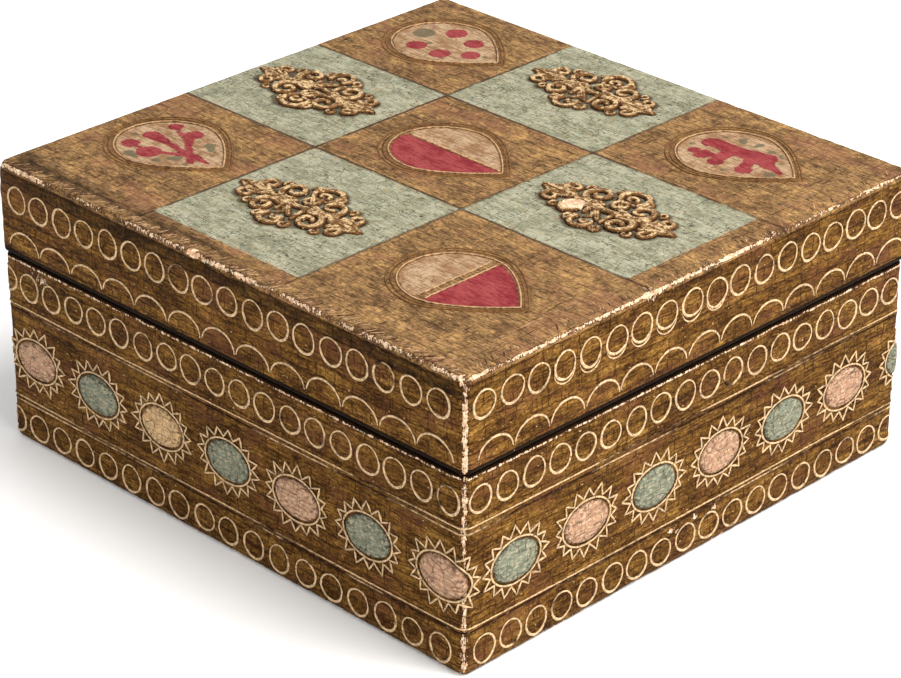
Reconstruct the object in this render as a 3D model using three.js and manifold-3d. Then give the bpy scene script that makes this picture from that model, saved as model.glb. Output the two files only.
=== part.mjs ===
// Gilt trinket box with a lift-off lid, carved in low relief.
// Millimetres, +Z up. The origin is the middle of the underside.
// -Y is the front, +X the side to its right, and sides are counted from the front anticlockwise.

import * as THREE from 'three';
import { mergeVertices } from 'three/addons/utils/BufferGeometryUtils.js';
import Module from 'manifold-3d';

const wasm = await Module();
wasm.setup();

// Base
const BASE_HEIGHT = 48.7;
const BASE_WALL = 6.5;
const BASE_FLOOR = 6;
const FOOT_RADIUS = 1.6;
const RIM_RADIUS = 0.7;

// Lid
const LID_WIDTH = 152;
const LID_DEPTH = 146;
const LID_HEIGHT = 22.7;
const LID_WALL = 4;
const LID_THICKNESS = 5;
const LID_TOP_RADIUS = 1.4;
const LID_EDGE_RADIUS = 1;

// How the lid sits on the base
const SEAM_GAP = 0.3;
const LID_OVERHANG = 0.4;
const LIP_HEIGHT = 3;
const LIP_CLEARANCE = 0.4;
const LIP_CHAMFER = 0.4;

// Upright edges of both
const CORNER_RADIUS = 2.2;
const INNER_CORNER_RADIUS = 0.8;
const CORNER_STEPS = 3;
const EDGE_STEPS = 2;

// Chequer on the lid: three columns from -X and three rows from +Y, then a border along +X and -Y
const LEFT_COLUMN = 46.2;
const MIDDLE_COLUMN = 47.8;
const BACK_ROW = 45.3;
const MIDDLE_ROW = 43.4;
const BORDER_WIDTH = 8.1;

// Scroll ornaments: size, then the cell of each and its shift along X and Y from the cell's middle
const SCROLL_LENGTH = 41;
const SCROLL_BREADTH = 23;
const SCROLL_RELIEF = 1.1;
const SCROLL_STROKE = 1.7;
const SCROLL_PLACES = [
  ['middle', 'front', -2.2, -0.3],
  ['right', 'middle', -1.5, 0.9],
  ['middle', 'back', -0.4, 3.5],
  ['left', 'middle', -0.5, 1.1],
];

// Shields: size of the raised rim, then places as above
const SHIELD_LENGTH = 32.5;
const SHIELD_BREADTH = 26;
const SHIELD_TIP_SHARE = 0.58;
const SHIELD_FLANK = 1.65;
const SHIELD_STEPS = 5;
const SHIELD_PLACES = [
  ['right', 'front', 1.6, -1.2],
  ['middle', 'middle', 0.8, -1.5],
  ['left', 'back', 1.5, 0.4],
  ['right', 'back', 0.6, -0.4],
  ['left', 'front', 0.6, 1.8],
];

// Thin raised lines: shield rims and the two mouldings round the base
const LINE_RELIEF = 0.4;
const LINE_STROKE = 1;
const UPPER_MOULDING = 35.6;
const LOWER_MOULDING = 11.2;

// Sunbursts round the base: sizes, then for each side the first centre and how many
const SUN_HEIGHT = 23.1;
const SUN_LENGTH = 20.4;
const SUN_BREADTH = 17;
const JEWEL_LENGTH = 15.8;
const JEWEL_BREADTH = 11.6;
const RAY_COUNT = 16;
const RAY_RELIEF = 0.4;
const JEWEL_RELIEF = 0.8;
const JEWEL_BEVEL = 0.8;
const SUN_RUNS = [[10.4, 22.4, 7], [15.3, 21.95, 6], [3.6, 23.45, 7], [15.75, 23.45, 6]];

// How deep relief is sunk in the wall that carries it
const RELIEF_ROOT = 1.5;
const LINE_ROOT = 0.6;

// Sizes that follow
const BASE_WIDTH = LID_WIDTH - 2 * LID_OVERHANG;
const BASE_DEPTH = LID_DEPTH - 2 * LID_OVERHANG;
const LID_BOTTOM = BASE_HEIGHT + SEAM_GAP;
const LID_TOP = LID_BOTTOM + LID_HEIGHT;
const LIP_INSET = LID_WALL - LID_OVERHANG + LIP_CLEARANCE;
const LEFT_LINE = -LID_WIDTH / 2 + LEFT_COLUMN;
const RIGHT_LINE = LEFT_LINE + MIDDLE_COLUMN;
const BACK_LINE = LID_DEPTH / 2 - BACK_ROW;
const FRONT_LINE = BACK_LINE - MIDDLE_ROW;
const COLUMN_MIDDLES = {
  left: LEFT_LINE - LEFT_COLUMN / 2,
  middle: LEFT_LINE + MIDDLE_COLUMN / 2,
  right: (RIGHT_LINE + LID_WIDTH / 2 - BORDER_WIDTH) / 2,
};
const ROW_MIDDLES = {
  back: BACK_LINE + BACK_ROW / 2,
  middle: BACK_LINE - MIDDLE_ROW / 2,
  front: (FRONT_LINE - LID_DEPTH / 2 + BORDER_WIDTH) / 2,
};

// Closed meshes and booleans

function closedGeometry(points, triangles) {
  const geometry = new THREE.BufferGeometry();
  geometry.setAttribute('position', new THREE.Float32BufferAttribute(points.flatMap((p) => p.toArray()), 3));
  geometry.setIndex(triangles.flat());
  return geometry;
}

function toManifold(geometry) {
  const clean = mergeVertices(geometry);
  const mesh = new wasm.Mesh({
    numProp: 3,
    vertProperties: new Float32Array(clean.attributes.position.array),
    triVerts: new Uint32Array(clean.index.array),
  });
  return new wasm.Manifold(mesh);
}

function toGeometry(manifold) {
  const mesh = manifold.getMesh();
  const geometry = new THREE.BufferGeometry();
  geometry.setAttribute('position', new THREE.BufferAttribute(mesh.vertProperties, 3));
  geometry.setIndex(new THREE.BufferAttribute(mesh.triVerts, 1));
  geometry.computeVertexNormals();
  return geometry;
}

// Wall between two rings of equal length, given by their first points
function addWall(triangles, lower, upper, count) {
  for (let j = 0; j < count; j += 1) {
    const k = (j + 1) % count;
    triangles.push([lower + j, lower + k, upper + k], [lower + j, upper + k, upper + j]);
  }
}

// Fan about the middle of a ring, added as a new last point
function addCap(points, triangles, ring, first, facing) {
  const middle = points.length;
  points.push(ring.reduce((sum, p) => sum.add(p), new THREE.Vector3()).divideScalar(ring.length));
  ring.forEach((_, j) => {
    const k = (j + 1) % ring.length;
    triangles.push(facing > 0 ? [middle, first + j, first + k] : [middle, first + k, first + j]);
  });
}

// Joins rings of equal length, each seen anticlockwise from the end it grows towards.
// A closed chain of rings has no ends, an open one is capped.
function skin(rings, closed) {
  const count = rings[0].length;
  const spans = closed ? rings.length : rings.length - 1;
  const points = rings.flat();
  const triangles = [];
  for (let i = 0; i < spans; i += 1) {
    addWall(triangles, i * count, ((i + 1) % rings.length) * count, count);
  }
  if (!closed) {
    addCap(points, triangles, rings[0], 0, -1);
    addCap(points, triangles, rings.at(-1), spans * count, 1);
  }
  return toManifold(closedGeometry(points, triangles));
}

// Shell of a box: each station is [inset from the outer face, z]

function roundedRing(width, depth, inset, z) {
  const radius = Math.max(CORNER_RADIUS - inset, INNER_CORNER_RADIUS);
  const halfX = width / 2 - inset - radius;
  const halfY = depth / 2 - inset - radius;
  const centres = [[halfX, -halfY], [halfX, halfY], [-halfX, halfY], [-halfX, -halfY]];
  return centres.flatMap(([x, y], corner) => {
    const ring = [];
    for (let i = 0; i <= CORNER_STEPS; i += 1) {
      const angle = (corner - 1 + i / CORNER_STEPS) * Math.PI / 2;
      ring.push(new THREE.Vector3(x + radius * Math.cos(angle), y + radius * Math.sin(angle), z));
    }
    return ring;
  });
}

// Stations of a rounded edge, turning from startAngle by a quarter about (inset, z)
function roundedEdge(inset, z, radius, startAngle) {
  const stations = [];
  for (let i = 0; i <= EDGE_STEPS; i += 1) {
    const angle = startAngle + (i / EDGE_STEPS) * Math.PI / 2;
    stations.push([inset - radius * Math.cos(angle), z + radius * Math.sin(angle)]);
  }
  return stations;
}

function shell(width, depth, stations) {
  return skin(stations.map(([inset, z]) => roundedRing(width, depth, inset, z)), false);
}

// Places on the surfaces: u and v lie in the surface, out is the distance from it

function onLidTop(u, v, out) {
  return new THREE.Vector3(u, v, LID_TOP + out);
}

const SIDES = [
  { length: BASE_WIDTH, along: [1, 0], normal: [0, -1] },
  { length: BASE_DEPTH, along: [0, 1], normal: [1, 0] },
  { length: BASE_WIDTH, along: [-1, 0], normal: [0, 1] },
  { length: BASE_DEPTH, along: [0, -1], normal: [-1, 0] },
];

// u runs along one side of the base from its first corner, and on round the corners
function onBaseWall(side, u, z, out) {
  const { length, along, normal } = SIDES[side];
  const quarter = CORNER_RADIUS * Math.PI / 2;
  const start = CORNER_RADIUS;
  const end = length - CORNER_RADIUS;
  if (u < start - quarter) {
    const before = (side + SIDES.length - 1) % SIDES.length;
    return onBaseWall(before, SIDES[before].length - 2 * CORNER_RADIUS + quarter + u, z, out);
  }
  if (u > end + quarter) {
    return onBaseWall((side + 1) % SIDES.length, u - end - quarter + CORNER_RADIUS, z, out);
  }
  const straight = Math.min(Math.max(u, start), end) - length / 2;
  const angle = (u - length / 2 - straight) / CORNER_RADIUS;
  const reach = CORNER_RADIUS + out;
  const deep = (side % 2 === 0 ? BASE_DEPTH : BASE_WIDTH) / 2 - CORNER_RADIUS;
  const alongBy = straight + reach * Math.sin(angle);
  const outBy = deep + reach * Math.cos(angle);
  return new THREE.Vector3(
    along[0] * alongBy + normal[0] * outBy,
    along[1] * alongBy + normal[1] * outBy,
    z,
  );
}

// Relief

// Raised stroke with a sharp back. Path points are [u, v, stroke, relief].
function ridge(path, place, root, closed = false) {
  const rings = path.map(([u, v, stroke, relief], i) => {
    const from = closed ? path.at(i - 1) : path[Math.max(i - 1, 0)];
    const to = closed ? path[(i + 1) % path.length] : path[Math.min(i + 1, path.length - 1)];
    const length = Math.hypot(to[0] - from[0], to[1] - from[1]);
    const across = [-(to[1] - from[1]) / length, (to[0] - from[0]) / length];
    const section = [[0.5, -root], [0, relief], [-0.5, -root]];
    return section.map(([side, out]) => place(u + across[0] * side * stroke, v + across[1] * side * stroke, out));
  });
  return skin(rings, closed);
}

// Arc or spiral about a centre, its angles in turns, thinning from full stroke at the start
function curl(centreU, centreV, radiusFrom, radiusTo, turnFrom, turnTo, steps, thin) {
  const path = [];
  for (let i = 0; i <= steps; i += 1) {
    const share = i / steps;
    const angle = (turnFrom + (turnTo - turnFrom) * share) * 2 * Math.PI;
    const radius = radiusFrom + (radiusTo - radiusFrom) * share;
    const fade = 1 - (1 - thin) * share;
    path.push([
      centreU + radius * Math.cos(angle),
      centreV + radius * Math.sin(angle),
      SCROLL_STROKE * fade,
      SCROLL_RELIEF * fade,
    ]);
  }
  return path;
}

// One scroll ornament about its own middle, as shares of its length and breadth.
// Strokes are given for one quarter, end or half, and mirrored.
function scrollStrokes() {
  const a = SCROLL_LENGTH / 2;
  const b = SCROLL_BREADTH / 2;
  const volute = curl(0.32 * a, 0.36 * b, 0.2 * a, 0.06 * a, 0.56, -0.5, 7, 0.7);
  const leaflet = curl(0.69 * a, 0.36 * b, 0.12 * a, 0.04 * a, 0.62, -0.2, 4, 0.7);
  const crest = curl(0.02 * a, 0.62 * b, 0.19 * a, 0.17 * a, -0.06, 0.56, 5, 0.9);
  const loop = curl(0.02 * a, 0.24 * b, 0.08 * a, 0.08 * a, 0, 5 / 6, 5, 1);
  const spine = [
    [0.1, 0.55, 0.6], [0.58, 0.8, 0.8], [0.8, 1.7, 1], [0.93, 1.1, 0.8], [1, 0.2, 0.3],
  ].map(([share, stroke, relief]) => [share * a, 0, stroke * SCROLL_STROKE, relief * SCROLL_RELIEF]);
  const mirrored = (path, flipU, flipV) => path.map(([u, v, stroke, relief]) => [flipU * u, flipV * v, stroke, relief]);
  const strokes = [];
  for (const flipU of [1, -1]) {
    for (const flipV of [1, -1]) {
      strokes.push(mirrored(volute, flipU, flipV), mirrored(leaflet, flipU, flipV));
    }
    strokes.push(mirrored(spine, flipU, 1));
    strokes.push(mirrored(crest, flipU, flipU), mirrored(loop, flipU, flipU));
  }
  return strokes;
}

// Rim of a shield about its own middle: round towards -X, pointed towards +X
function shieldRim() {
  const tip = SHIELD_LENGTH * SHIELD_TIP_SHARE;
  const head = SHIELD_LENGTH - tip;
  const shoulder = SHIELD_LENGTH / 2 - tip;
  const half = SHIELD_BREADTH / 2;
  const upper = [];
  for (let i = 0; i <= SHIELD_STEPS; i += 1) {
    const angle = (i / SHIELD_STEPS) * Math.PI / 2;
    upper.push([shoulder - head * Math.cos(angle), half * Math.sin(angle)]);
  }
  for (let i = 1; i <= SHIELD_STEPS; i += 1) {
    const share = i / SHIELD_STEPS;
    upper.push([shoulder + tip * share, half * (1 - share ** SHIELD_FLANK)]);
  }
  const lower = upper.slice(1, -1).reverse().map(([u, v]) => [u, -v]);
  return [...upper.reverse(), ...lower.reverse()].map(([u, v]) => [u, v, LINE_STROKE, LINE_RELIEF]);
}

function cellPlace([column, row, shiftU, shiftV]) {
  return [COLUMN_MIDDLES[column] + shiftU, ROW_MIDDLES[row] + shiftV];
}

// Star-shaped plate with an oval jewel, on one side of the base
function sunburst(side, centreU) {
  const oval = (turn, length, breadth, out) => {
    const angle = turn * 2 * Math.PI;
    const u = centreU + length / 2 * Math.cos(angle);
    return onBaseWall(side, u, SUN_HEIGHT + breadth / 2 * Math.sin(angle), out);
  };
  const star = (out) => Array.from({ length: 2 * RAY_COUNT }, (_, i) => {
    const size = i % 2 === 0 ? [SUN_LENGTH, SUN_BREADTH] : [JEWEL_LENGTH, JEWEL_BREADTH];
    return oval(i / (2 * RAY_COUNT), ...size, out);
  });
  const table = Array.from({ length: RAY_COUNT }, (_, i) => oval(
    (i + 0.5) / RAY_COUNT,
    JEWEL_LENGTH - 2 * JEWEL_BEVEL,
    JEWEL_BREADTH - 2 * JEWEL_BEVEL,
    JEWEL_RELIEF,
  ));
  const rings = [star(-RELIEF_ROOT), star(RAY_RELIEF)];
  const points = [...rings.flat(), ...table];
  const triangles = [];
  addWall(triangles, 0, 2 * RAY_COUNT, 2 * RAY_COUNT);
  addCap(points, triangles, rings[0], 0, -1);
  const tips = 2 * RAY_COUNT;
  const bevel = 2 * tips;
  for (let i = 0; i < RAY_COUNT; i += 1) {
    const valley = tips + 2 * i + 1;
    const tip = tips + (2 * i + 2) % tips;
    const nextValley = tips + (2 * i + 3) % tips;
    const next = (i + 1) % RAY_COUNT;
    triangles.push([valley, tip, nextValley]);
    triangles.push([valley, nextValley, bevel + next], [valley, bevel + next, bevel + i]);
  }
  addCap(points, triangles, table, bevel, 1);
  return toManifold(closedGeometry(points, triangles));
}

// Plain moulding round the base at one height
function moulding(z) {
  const quarter = CORNER_RADIUS * Math.PI / 2;
  const places = SIDES.flatMap(({ length }, side) => {
    const points = [];
    for (let i = 0; i <= CORNER_STEPS; i += 1) {
      points.push([side, length - CORNER_RADIUS + (i / CORNER_STEPS) * quarter]);
    }
    return points;
  });
  const section = [[-0.5, -LINE_ROOT], [0, LINE_RELIEF], [0.5, -LINE_ROOT]];
  const rings = places.map(([side, u]) => section.map(
    ([rise, out]) => onBaseWall(side, u, z + rise * LINE_STROKE, out),
  ));
  return skin(rings.reverse(), true);
}

// Pieces

function makeBase() {
  const hollow = shell(BASE_WIDTH, BASE_DEPTH, [
    ...roundedEdge(FOOT_RADIUS, FOOT_RADIUS, FOOT_RADIUS, -Math.PI / 2),
    ...roundedEdge(RIM_RADIUS, BASE_HEIGHT - RIM_RADIUS, RIM_RADIUS, 0),
    [LIP_INSET, BASE_HEIGHT],
    [LIP_INSET, BASE_HEIGHT + LIP_HEIGHT - LIP_CHAMFER],
    [LIP_INSET + LIP_CHAMFER, BASE_HEIGHT + LIP_HEIGHT],
    [BASE_WALL - LIP_CHAMFER, BASE_HEIGHT + LIP_HEIGHT],
    [BASE_WALL, BASE_HEIGHT + LIP_HEIGHT - LIP_CHAMFER],
    [BASE_WALL, BASE_FLOOR],
  ]);
  const reliefs = SUN_RUNS.flatMap(([first, pitch, count], side) => {
    const suns = [];
    for (let i = 0; i < count; i += 1) {
      suns.push(sunburst(side, first + i * pitch));
    }
    return suns;
  });
  reliefs.push(moulding(UPPER_MOULDING), moulding(LOWER_MOULDING));
  return wasm.Manifold.union([hollow, ...reliefs]);
}

function makeLid() {
  const cap = shell(LID_WIDTH, LID_DEPTH, [
    [LID_WALL, LID_TOP - LID_THICKNESS],
    [LID_WALL, LID_BOTTOM],
    ...roundedEdge(LID_EDGE_RADIUS, LID_BOTTOM + LID_EDGE_RADIUS, LID_EDGE_RADIUS, -Math.PI / 2),
    ...roundedEdge(LID_TOP_RADIUS, LID_TOP - LID_TOP_RADIUS, LID_TOP_RADIUS, 0),
  ]);
  const raise = (cell, path, root, closed) => {
    const [centreU, centreV] = cellPlace(cell);
    return ridge(path, (u, v, out) => onLidTop(centreU + u, centreV + v, out), root, closed);
  };
  const scrolls = SCROLL_PLACES.flatMap((cell) => scrollStrokes().map((path) => raise(cell, path, LINE_ROOT, false)));
  const rims = SHIELD_PLACES.map((cell) => raise(cell, shieldRim(), LINE_ROOT, true));
  return wasm.Manifold.union([cap, ...scrolls, ...rims]);
}

function piece(name, solid, color, roughness, metalness) {
  const mesh = new THREE.Mesh(toGeometry(solid), new THREE.MeshStandardMaterial({ color, roughness, metalness }));
  mesh.name = name;
  return mesh;
}

const box = new THREE.Group();
box.add(piece('box_base', makeBase(), 0x6f4f28, 0.5, 0.35));
box.add(piece('lid', makeLid(), 0x8a6636, 0.5, 0.35));

export default box;
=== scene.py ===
"""Looks of the gilt trinket box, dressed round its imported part.

The file is laid out as an add-on and run as a script. Sizes in the code are millimetres in the part's
frame: +Z up, -Y the front, +X the side to its right. Meshes are made in metres.
"""

import math

import bpy
import numpy as np
from mathutils import Matrix, Vector


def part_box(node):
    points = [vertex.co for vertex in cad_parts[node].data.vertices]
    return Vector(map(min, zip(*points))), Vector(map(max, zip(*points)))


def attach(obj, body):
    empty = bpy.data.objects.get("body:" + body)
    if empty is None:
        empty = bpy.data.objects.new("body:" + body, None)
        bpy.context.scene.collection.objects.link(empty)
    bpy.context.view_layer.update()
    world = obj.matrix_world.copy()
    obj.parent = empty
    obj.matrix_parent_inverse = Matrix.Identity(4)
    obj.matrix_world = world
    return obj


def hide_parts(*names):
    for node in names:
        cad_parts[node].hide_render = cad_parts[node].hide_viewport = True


bl_info = {
    "name": "Gilt trinket box",
    "version": (1, 0, 0),
    "blender": (4, 5, 0),
    "location": "3D View > Sidebar > Trinket box",
    "description": "Builds the shells, raised lines, painting and wear of a gilt trinket box",
    "category": "Add Mesh",
}

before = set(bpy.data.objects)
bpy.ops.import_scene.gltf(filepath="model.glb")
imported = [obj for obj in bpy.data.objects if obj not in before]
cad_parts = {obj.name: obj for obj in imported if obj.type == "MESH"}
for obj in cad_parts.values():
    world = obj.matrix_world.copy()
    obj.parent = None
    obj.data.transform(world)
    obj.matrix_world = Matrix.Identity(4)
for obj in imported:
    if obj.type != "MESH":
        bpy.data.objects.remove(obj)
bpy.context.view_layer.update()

MM = 0.001
LID_LOW, LID_HIGH = (np.array(corner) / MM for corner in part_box("lid"))
BASE_HIGH = np.array(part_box("box_base")[1]) / MM

# Heights and walls, as in the part
SCROLL_RELIEF = 1.1
LID_TOP = LID_HIGH[2] - SCROLL_RELIEF
LID_BOTTOM = LID_LOW[2]
LID_WIDTH = 2 * LID_HIGH[0]
LID_DEPTH = 2 * LID_HIGH[1]
LID_WALL = 4
LID_THICKNESS = 5
LID_TOP_RADIUS = 1.4
LID_EDGE_RADIUS = 1
BASE_RIM = 48.7
LIP_TOP = BASE_HIGH[2]
LIP_INSET = 4
LIP_CHAMFER = 0.4
BASE_WALL = 6.5
BASE_FLOOR = 6
FOOT_RADIUS = 1.6
RIM_RADIUS = 0.7
LID_OVERHANG = 0.4
BASE_WIDTH = LID_WIDTH - 2 * LID_OVERHANG
BASE_DEPTH = LID_DEPTH - 2 * LID_OVERHANG
CORNER_RADIUS = 2.2
INNER_RADIUS = 0.8

# Chequer lines on the lid, and the cells' painted shields and carved scrolls
LEFT_LINE, RIGHT_LINE = -29.8, 18.0
BACK_LINE, FRONT_LINE = 27.7, -15.7
RIGHT_BORDER, FRONT_BORDER = 67.9, -64.9
BORDER_LINE_FADE = 0.32
GREEN_CELLS = (
    (LEFT_LINE, RIGHT_LINE, FRONT_BORDER, FRONT_LINE), (RIGHT_LINE, RIGHT_BORDER, FRONT_LINE, BACK_LINE),
    (LEFT_LINE, RIGHT_LINE, BACK_LINE, 73.0), (-76.0, LEFT_LINE, FRONT_LINE, BACK_LINE),
)
SHIELDS = {
    "front_right": (45.1, -41.5), "centre": (-4.8, 4.5), "back_left": (-51.2, 50.7),
    "back_right": (43.8, 49.9), "front_left": (-52.2, -38.5),
}
FIELD_LENGTH = 31
FIELD_BREADTH = 24
SHIELD_TIP_SHARE = 0.58
SHIELD_FLANK = 1.65
SCROLLS = ((-8.1, -40.5), (41.6, 6.9), (-6.3, 53.9), (-53.4, 7.1))

# Rows on the walls: for each side the first and last centre, then how many; suns as first, pitch, how many
LID_RINGS = ((7.2, 144.6, 18), (5.6, 141.4, 18), (6.0, 146.0, 18), (5.0, 142.0, 18))
LID_RING_HEIGHTS = (63.8, 64.6, 64.2, 64.0)
UPPER_RINGS = ((1.0, 146.7, 19), (4.7, 140.4, 18), (6.0, 146.0, 18), (5.0, 142.0, 18))
LOWER_RINGS = ((1.5, 144.4, 18), (5.8, 143.0, 18), (6.0, 146.0, 18), (5.0, 142.0, 18))
UPPER_RING_HEIGHT = 42.1
LOWER_RING_HEIGHT = 5.2
ARCHES = ((9.0, 143.5, 13), (9.0, 139.2, 13), (7.5, 144.0, 13), (8.0, 139.5, 13))
ARCH_HEIGHT = 50.7
SUN_RUNS = ((10.4, 22.4, 7), (15.3, 21.95, 6), (3.6, 23.45, 7), (15.75, 23.45, 6))
SUN_HEIGHT = 23.1
MOULDINGS = (35.6, 11.2)


# Surfaces


class Outline:
    """Rounded rectangle seen from above, walked anticlockwise from the front side's first corner."""

    def __init__(self, width, depth, radius=CORNER_RADIUS):
        self.half = np.array([width / 2, depth / 2])
        self.radius = radius
        inner = self.half - radius
        self.inner = inner
        signs = np.array([[-1, -1], [1, -1], [1, 1], [-1, 1]])
        self.cores = signs * inner
        self.along = np.array([[1, 0], [0, 1], [-1, 0], [0, -1]], float)
        self.normals = np.array([[0, -1], [1, 0], [0, 1], [-1, 0]], float)
        self.lengths = np.array([inner[0], inner[1], inner[0], inner[1]]) * 2
        self.quarter = radius * math.pi / 2
        steps = self.lengths + self.quarter
        self.starts = np.concatenate([[0], np.cumsum(steps)[:-1]])
        self.total = steps.sum()

    def walk(self, side, u):
        """Distance round the outline of a point u along a side from its sharp corner."""
        return self.starts[side] + u - self.radius

    def frame(self, s):
        s = np.mod(s, self.total)
        side = np.searchsorted(self.starts, s, side="right") - 1
        t = s - self.starts[side]
        straight = np.minimum(t, self.lengths[side])
        angle = ((t - straight) / self.radius)[..., None]
        core = self.cores[side] + self.along[side] * straight[..., None]
        normal = self.normals[side] * np.cos(angle) + self.along[side] * np.sin(angle)
        return core, normal

    def place(self, s, z, out):
        core, normal = self.frame(np.asarray(s, float))
        reach = np.asarray(self.radius + out, float)
        xy = core + normal * reach[..., None]
        return np.concatenate([xy, np.asarray(z, float)[..., None]], -1)

    def ring(self, s, inset, z):
        """The whole outline drawn in by inset, its points kept in step with those further out."""
        radius = max(self.radius - inset, INNER_RADIUS)
        core, normal = self.frame(s)
        shrunk = core * (self.half - inset - radius) / self.inner
        xy = shrunk + normal * radius
        return np.concatenate([xy, np.full((len(s), 1), float(z))], -1)


LID_OUTLINE = Outline(LID_WIDTH, LID_DEPTH)
BASE_OUTLINE = Outline(BASE_WIDTH, BASE_DEPTH)


def on_lid_top(u, v, out):
    return np.stack(np.broadcast_arrays(u, v, LID_TOP + np.asarray(out, float)), -1)


# Numbers that stand for chance, always the same


def lattice(cells, seed):
    """One number from 0 to 1 for each whole place, by mixing its bits."""
    value = cells.astype(np.int64) @ np.array([374761393, 668265263, 2147483647]) + seed * 974634777
    value = (value ^ (value >> 13)) * 1274126177
    value = value ^ (value >> 16)
    return (value & 0xFFFFFF) / 0xFFFFFF


def noise(points, size, seed, layers=1):
    """Smooth noise from 0 to 1 with lumps of the given size."""
    total = np.zeros(points.shape[:-1])
    weight = 0
    for layer in range(layers):
        at = points / (size / 2**layer) + 100
        low = np.floor(at)
        part = at - low
        part = part * part * (3 - 2 * part)
        value = np.zeros(points.shape[:-1])
        for corner in np.ndindex(2, 2, 2):
            corner = np.array(corner)
            share = np.prod(np.where(corner, part, 1 - part), -1)
            value += share * lattice(low + corner, seed + layer)
        total += value / 2**layer
        weight += 1 / 2**layer
    return total / weight


def smooth_step(low, high, value):
    t = np.clip((value - low) / (high - low), 0, 1)
    return t * t * (3 - 2 * t)


def hump(value, middle, width):
    """1 at the middle, falling to nothing a few widths away."""
    return np.exp(-(((value - middle) / width) ** 2))


def wander(rng, count, pitch, reach):
    """A slow drift along a row of points, from -reach to reach."""
    knots = np.arange(0, count + pitch, pitch)
    return np.interp(np.arange(count), knots, rng.uniform(-reach, reach, len(knots)))


# Flat shapes as signed distances, negative inside


def segment_distance(points, start, end):
    start, end = np.asarray(start, float), np.asarray(end, float)
    run = end - start
    share = np.clip(((points - start) @ run) / max(run @ run, 1e-9), 0, 1)
    return np.linalg.norm(points - start - share[..., None] * run, axis=-1), share


def blob_distance(points, blob):
    """A disc (x, y, r) or a tapered stroke (x, y, r, x, y, r)."""
    if len(blob) == 3:
        return np.linalg.norm(points - np.array(blob[:2]), axis=-1) - blob[2]
    distance, share = segment_distance(points, blob[:2], blob[3:5])
    return distance - (blob[2] + (blob[5] - blob[2]) * share)


def blobs_distance(points, blobs):
    return np.min([blob_distance(points, blob) for blob in blobs], axis=0)


def rectangle_distance(points, rectangle):
    x0, x1, y0, y1 = rectangle
    centre = np.array([(x0 + x1) / 2, (y0 + y1) / 2])
    q = np.abs(points - centre) - np.array([(x1 - x0) / 2, (y1 - y0) / 2])
    outside = np.linalg.norm(np.maximum(q, 0), axis=-1)
    return outside + np.minimum(q.max(-1), 0)


def polygon_distance(points, polygon):
    distance = np.full(points.shape[:-1], 1e9)
    inside = np.zeros(points.shape[:-1], bool)
    for start, end in zip(polygon, np.roll(polygon, -1, axis=0)):
        distance = np.minimum(distance, segment_distance(points, start, end)[0])
        crosses = (start[1] > points[..., 1]) != (end[1] > points[..., 1])
        rise = end[1] - start[1] if end[1] != start[1] else 1e-9
        meets = start[0] + (points[..., 1] - start[1]) * (end[0] - start[0]) / rise
        inside ^= crosses & (points[..., 0] < meets)
    return np.where(inside, -distance, distance)


def shield_outline(length, breadth, steps=26):
    """Round towards -X, pointed towards +X, as in the part."""
    tip = length * SHIELD_TIP_SHARE
    head = length - tip
    shoulder = length / 2 - tip
    angle = np.linspace(0, math.pi / 2, steps)
    share = np.linspace(0, 1, steps)[1:]
    x = np.concatenate([shoulder - head * np.cos(angle), shoulder + tip * share])
    y = np.concatenate([np.sin(angle), 1 - share**SHIELD_FLANK]) * breadth / 2
    upper = np.stack([x, y], -1)
    lower = np.stack([x, -y], -1)[1:-1]
    return np.concatenate([upper[::-1], lower])


FIELD = shield_outline(FIELD_LENGTH, FIELD_BREADTH)
FIELD_REACH = 22
SCROLL_REACH = 26
FAR = 9.0

# Painted motifs, about the middle of their shield
ROUNDELS = ((-4.4, 6.4, 2.9), (3.5, 4.6, 2.6), (8.1, -1.2, 2.5), (1.9, -5.8, 2.7), (-6.2, -6.0, 2.7))
BEAST = (
    (-10.6, 1.8, 2.4), (-10, 2.2, 2.2, -5, 2.6, 1.9), (-6, 2, 2.2, 3, 2.6, 2.6), (1, 3.2, 2.4, 4.4, 3.3, 3.2),
    (4.4, 2.8, 2.6, 8, 0.6, 1.6), (8, 1, 1.4, 12.2, -0.4, 0.7), (-4, 1, 2.2, -3, -5, 1.5), (-2.8, -5.6, 2),
    (-8, -2.6, 0.9, -7.6, -5.2, 1.9), (-10.5, -4.2, 1.5), (-5.5, -3, 0.8, -7, -4.6, 1.6),
    (2.4, 1, 1.6, 4.4, -4, 1.5), (4.8, -4.7, 2.2),
)
SPRIG = (
    (-2.4, 7.4, 2.3), (-9, 7.6, 1.9), (-9.6, 0.6, 2.1, -5, 0.5, 1.4), (-9.5, -6, 2.3), (-2.7, -6.3, 3.1),
    (6.1, -0.9, 0.9, 1.6, 2.2, 0.8), (1.6, 2.2, 0.8, -2, 6.4, 1.1), (1.4, 2.4, 0.5, -8, 7, 0.5),
    (6, -1, 1, -6, 0.6, 0.7), (6, -1, 0.9, -2, -5.4, 0.7), (6.4, -0.8, 1.5, 12, -0.9, 0.5),
    (6.4, -1.4, 1.2, 8.9, -3.6, 0.9), (-3, -6, 0.6, -9, -6, 0.5),
)
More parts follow.
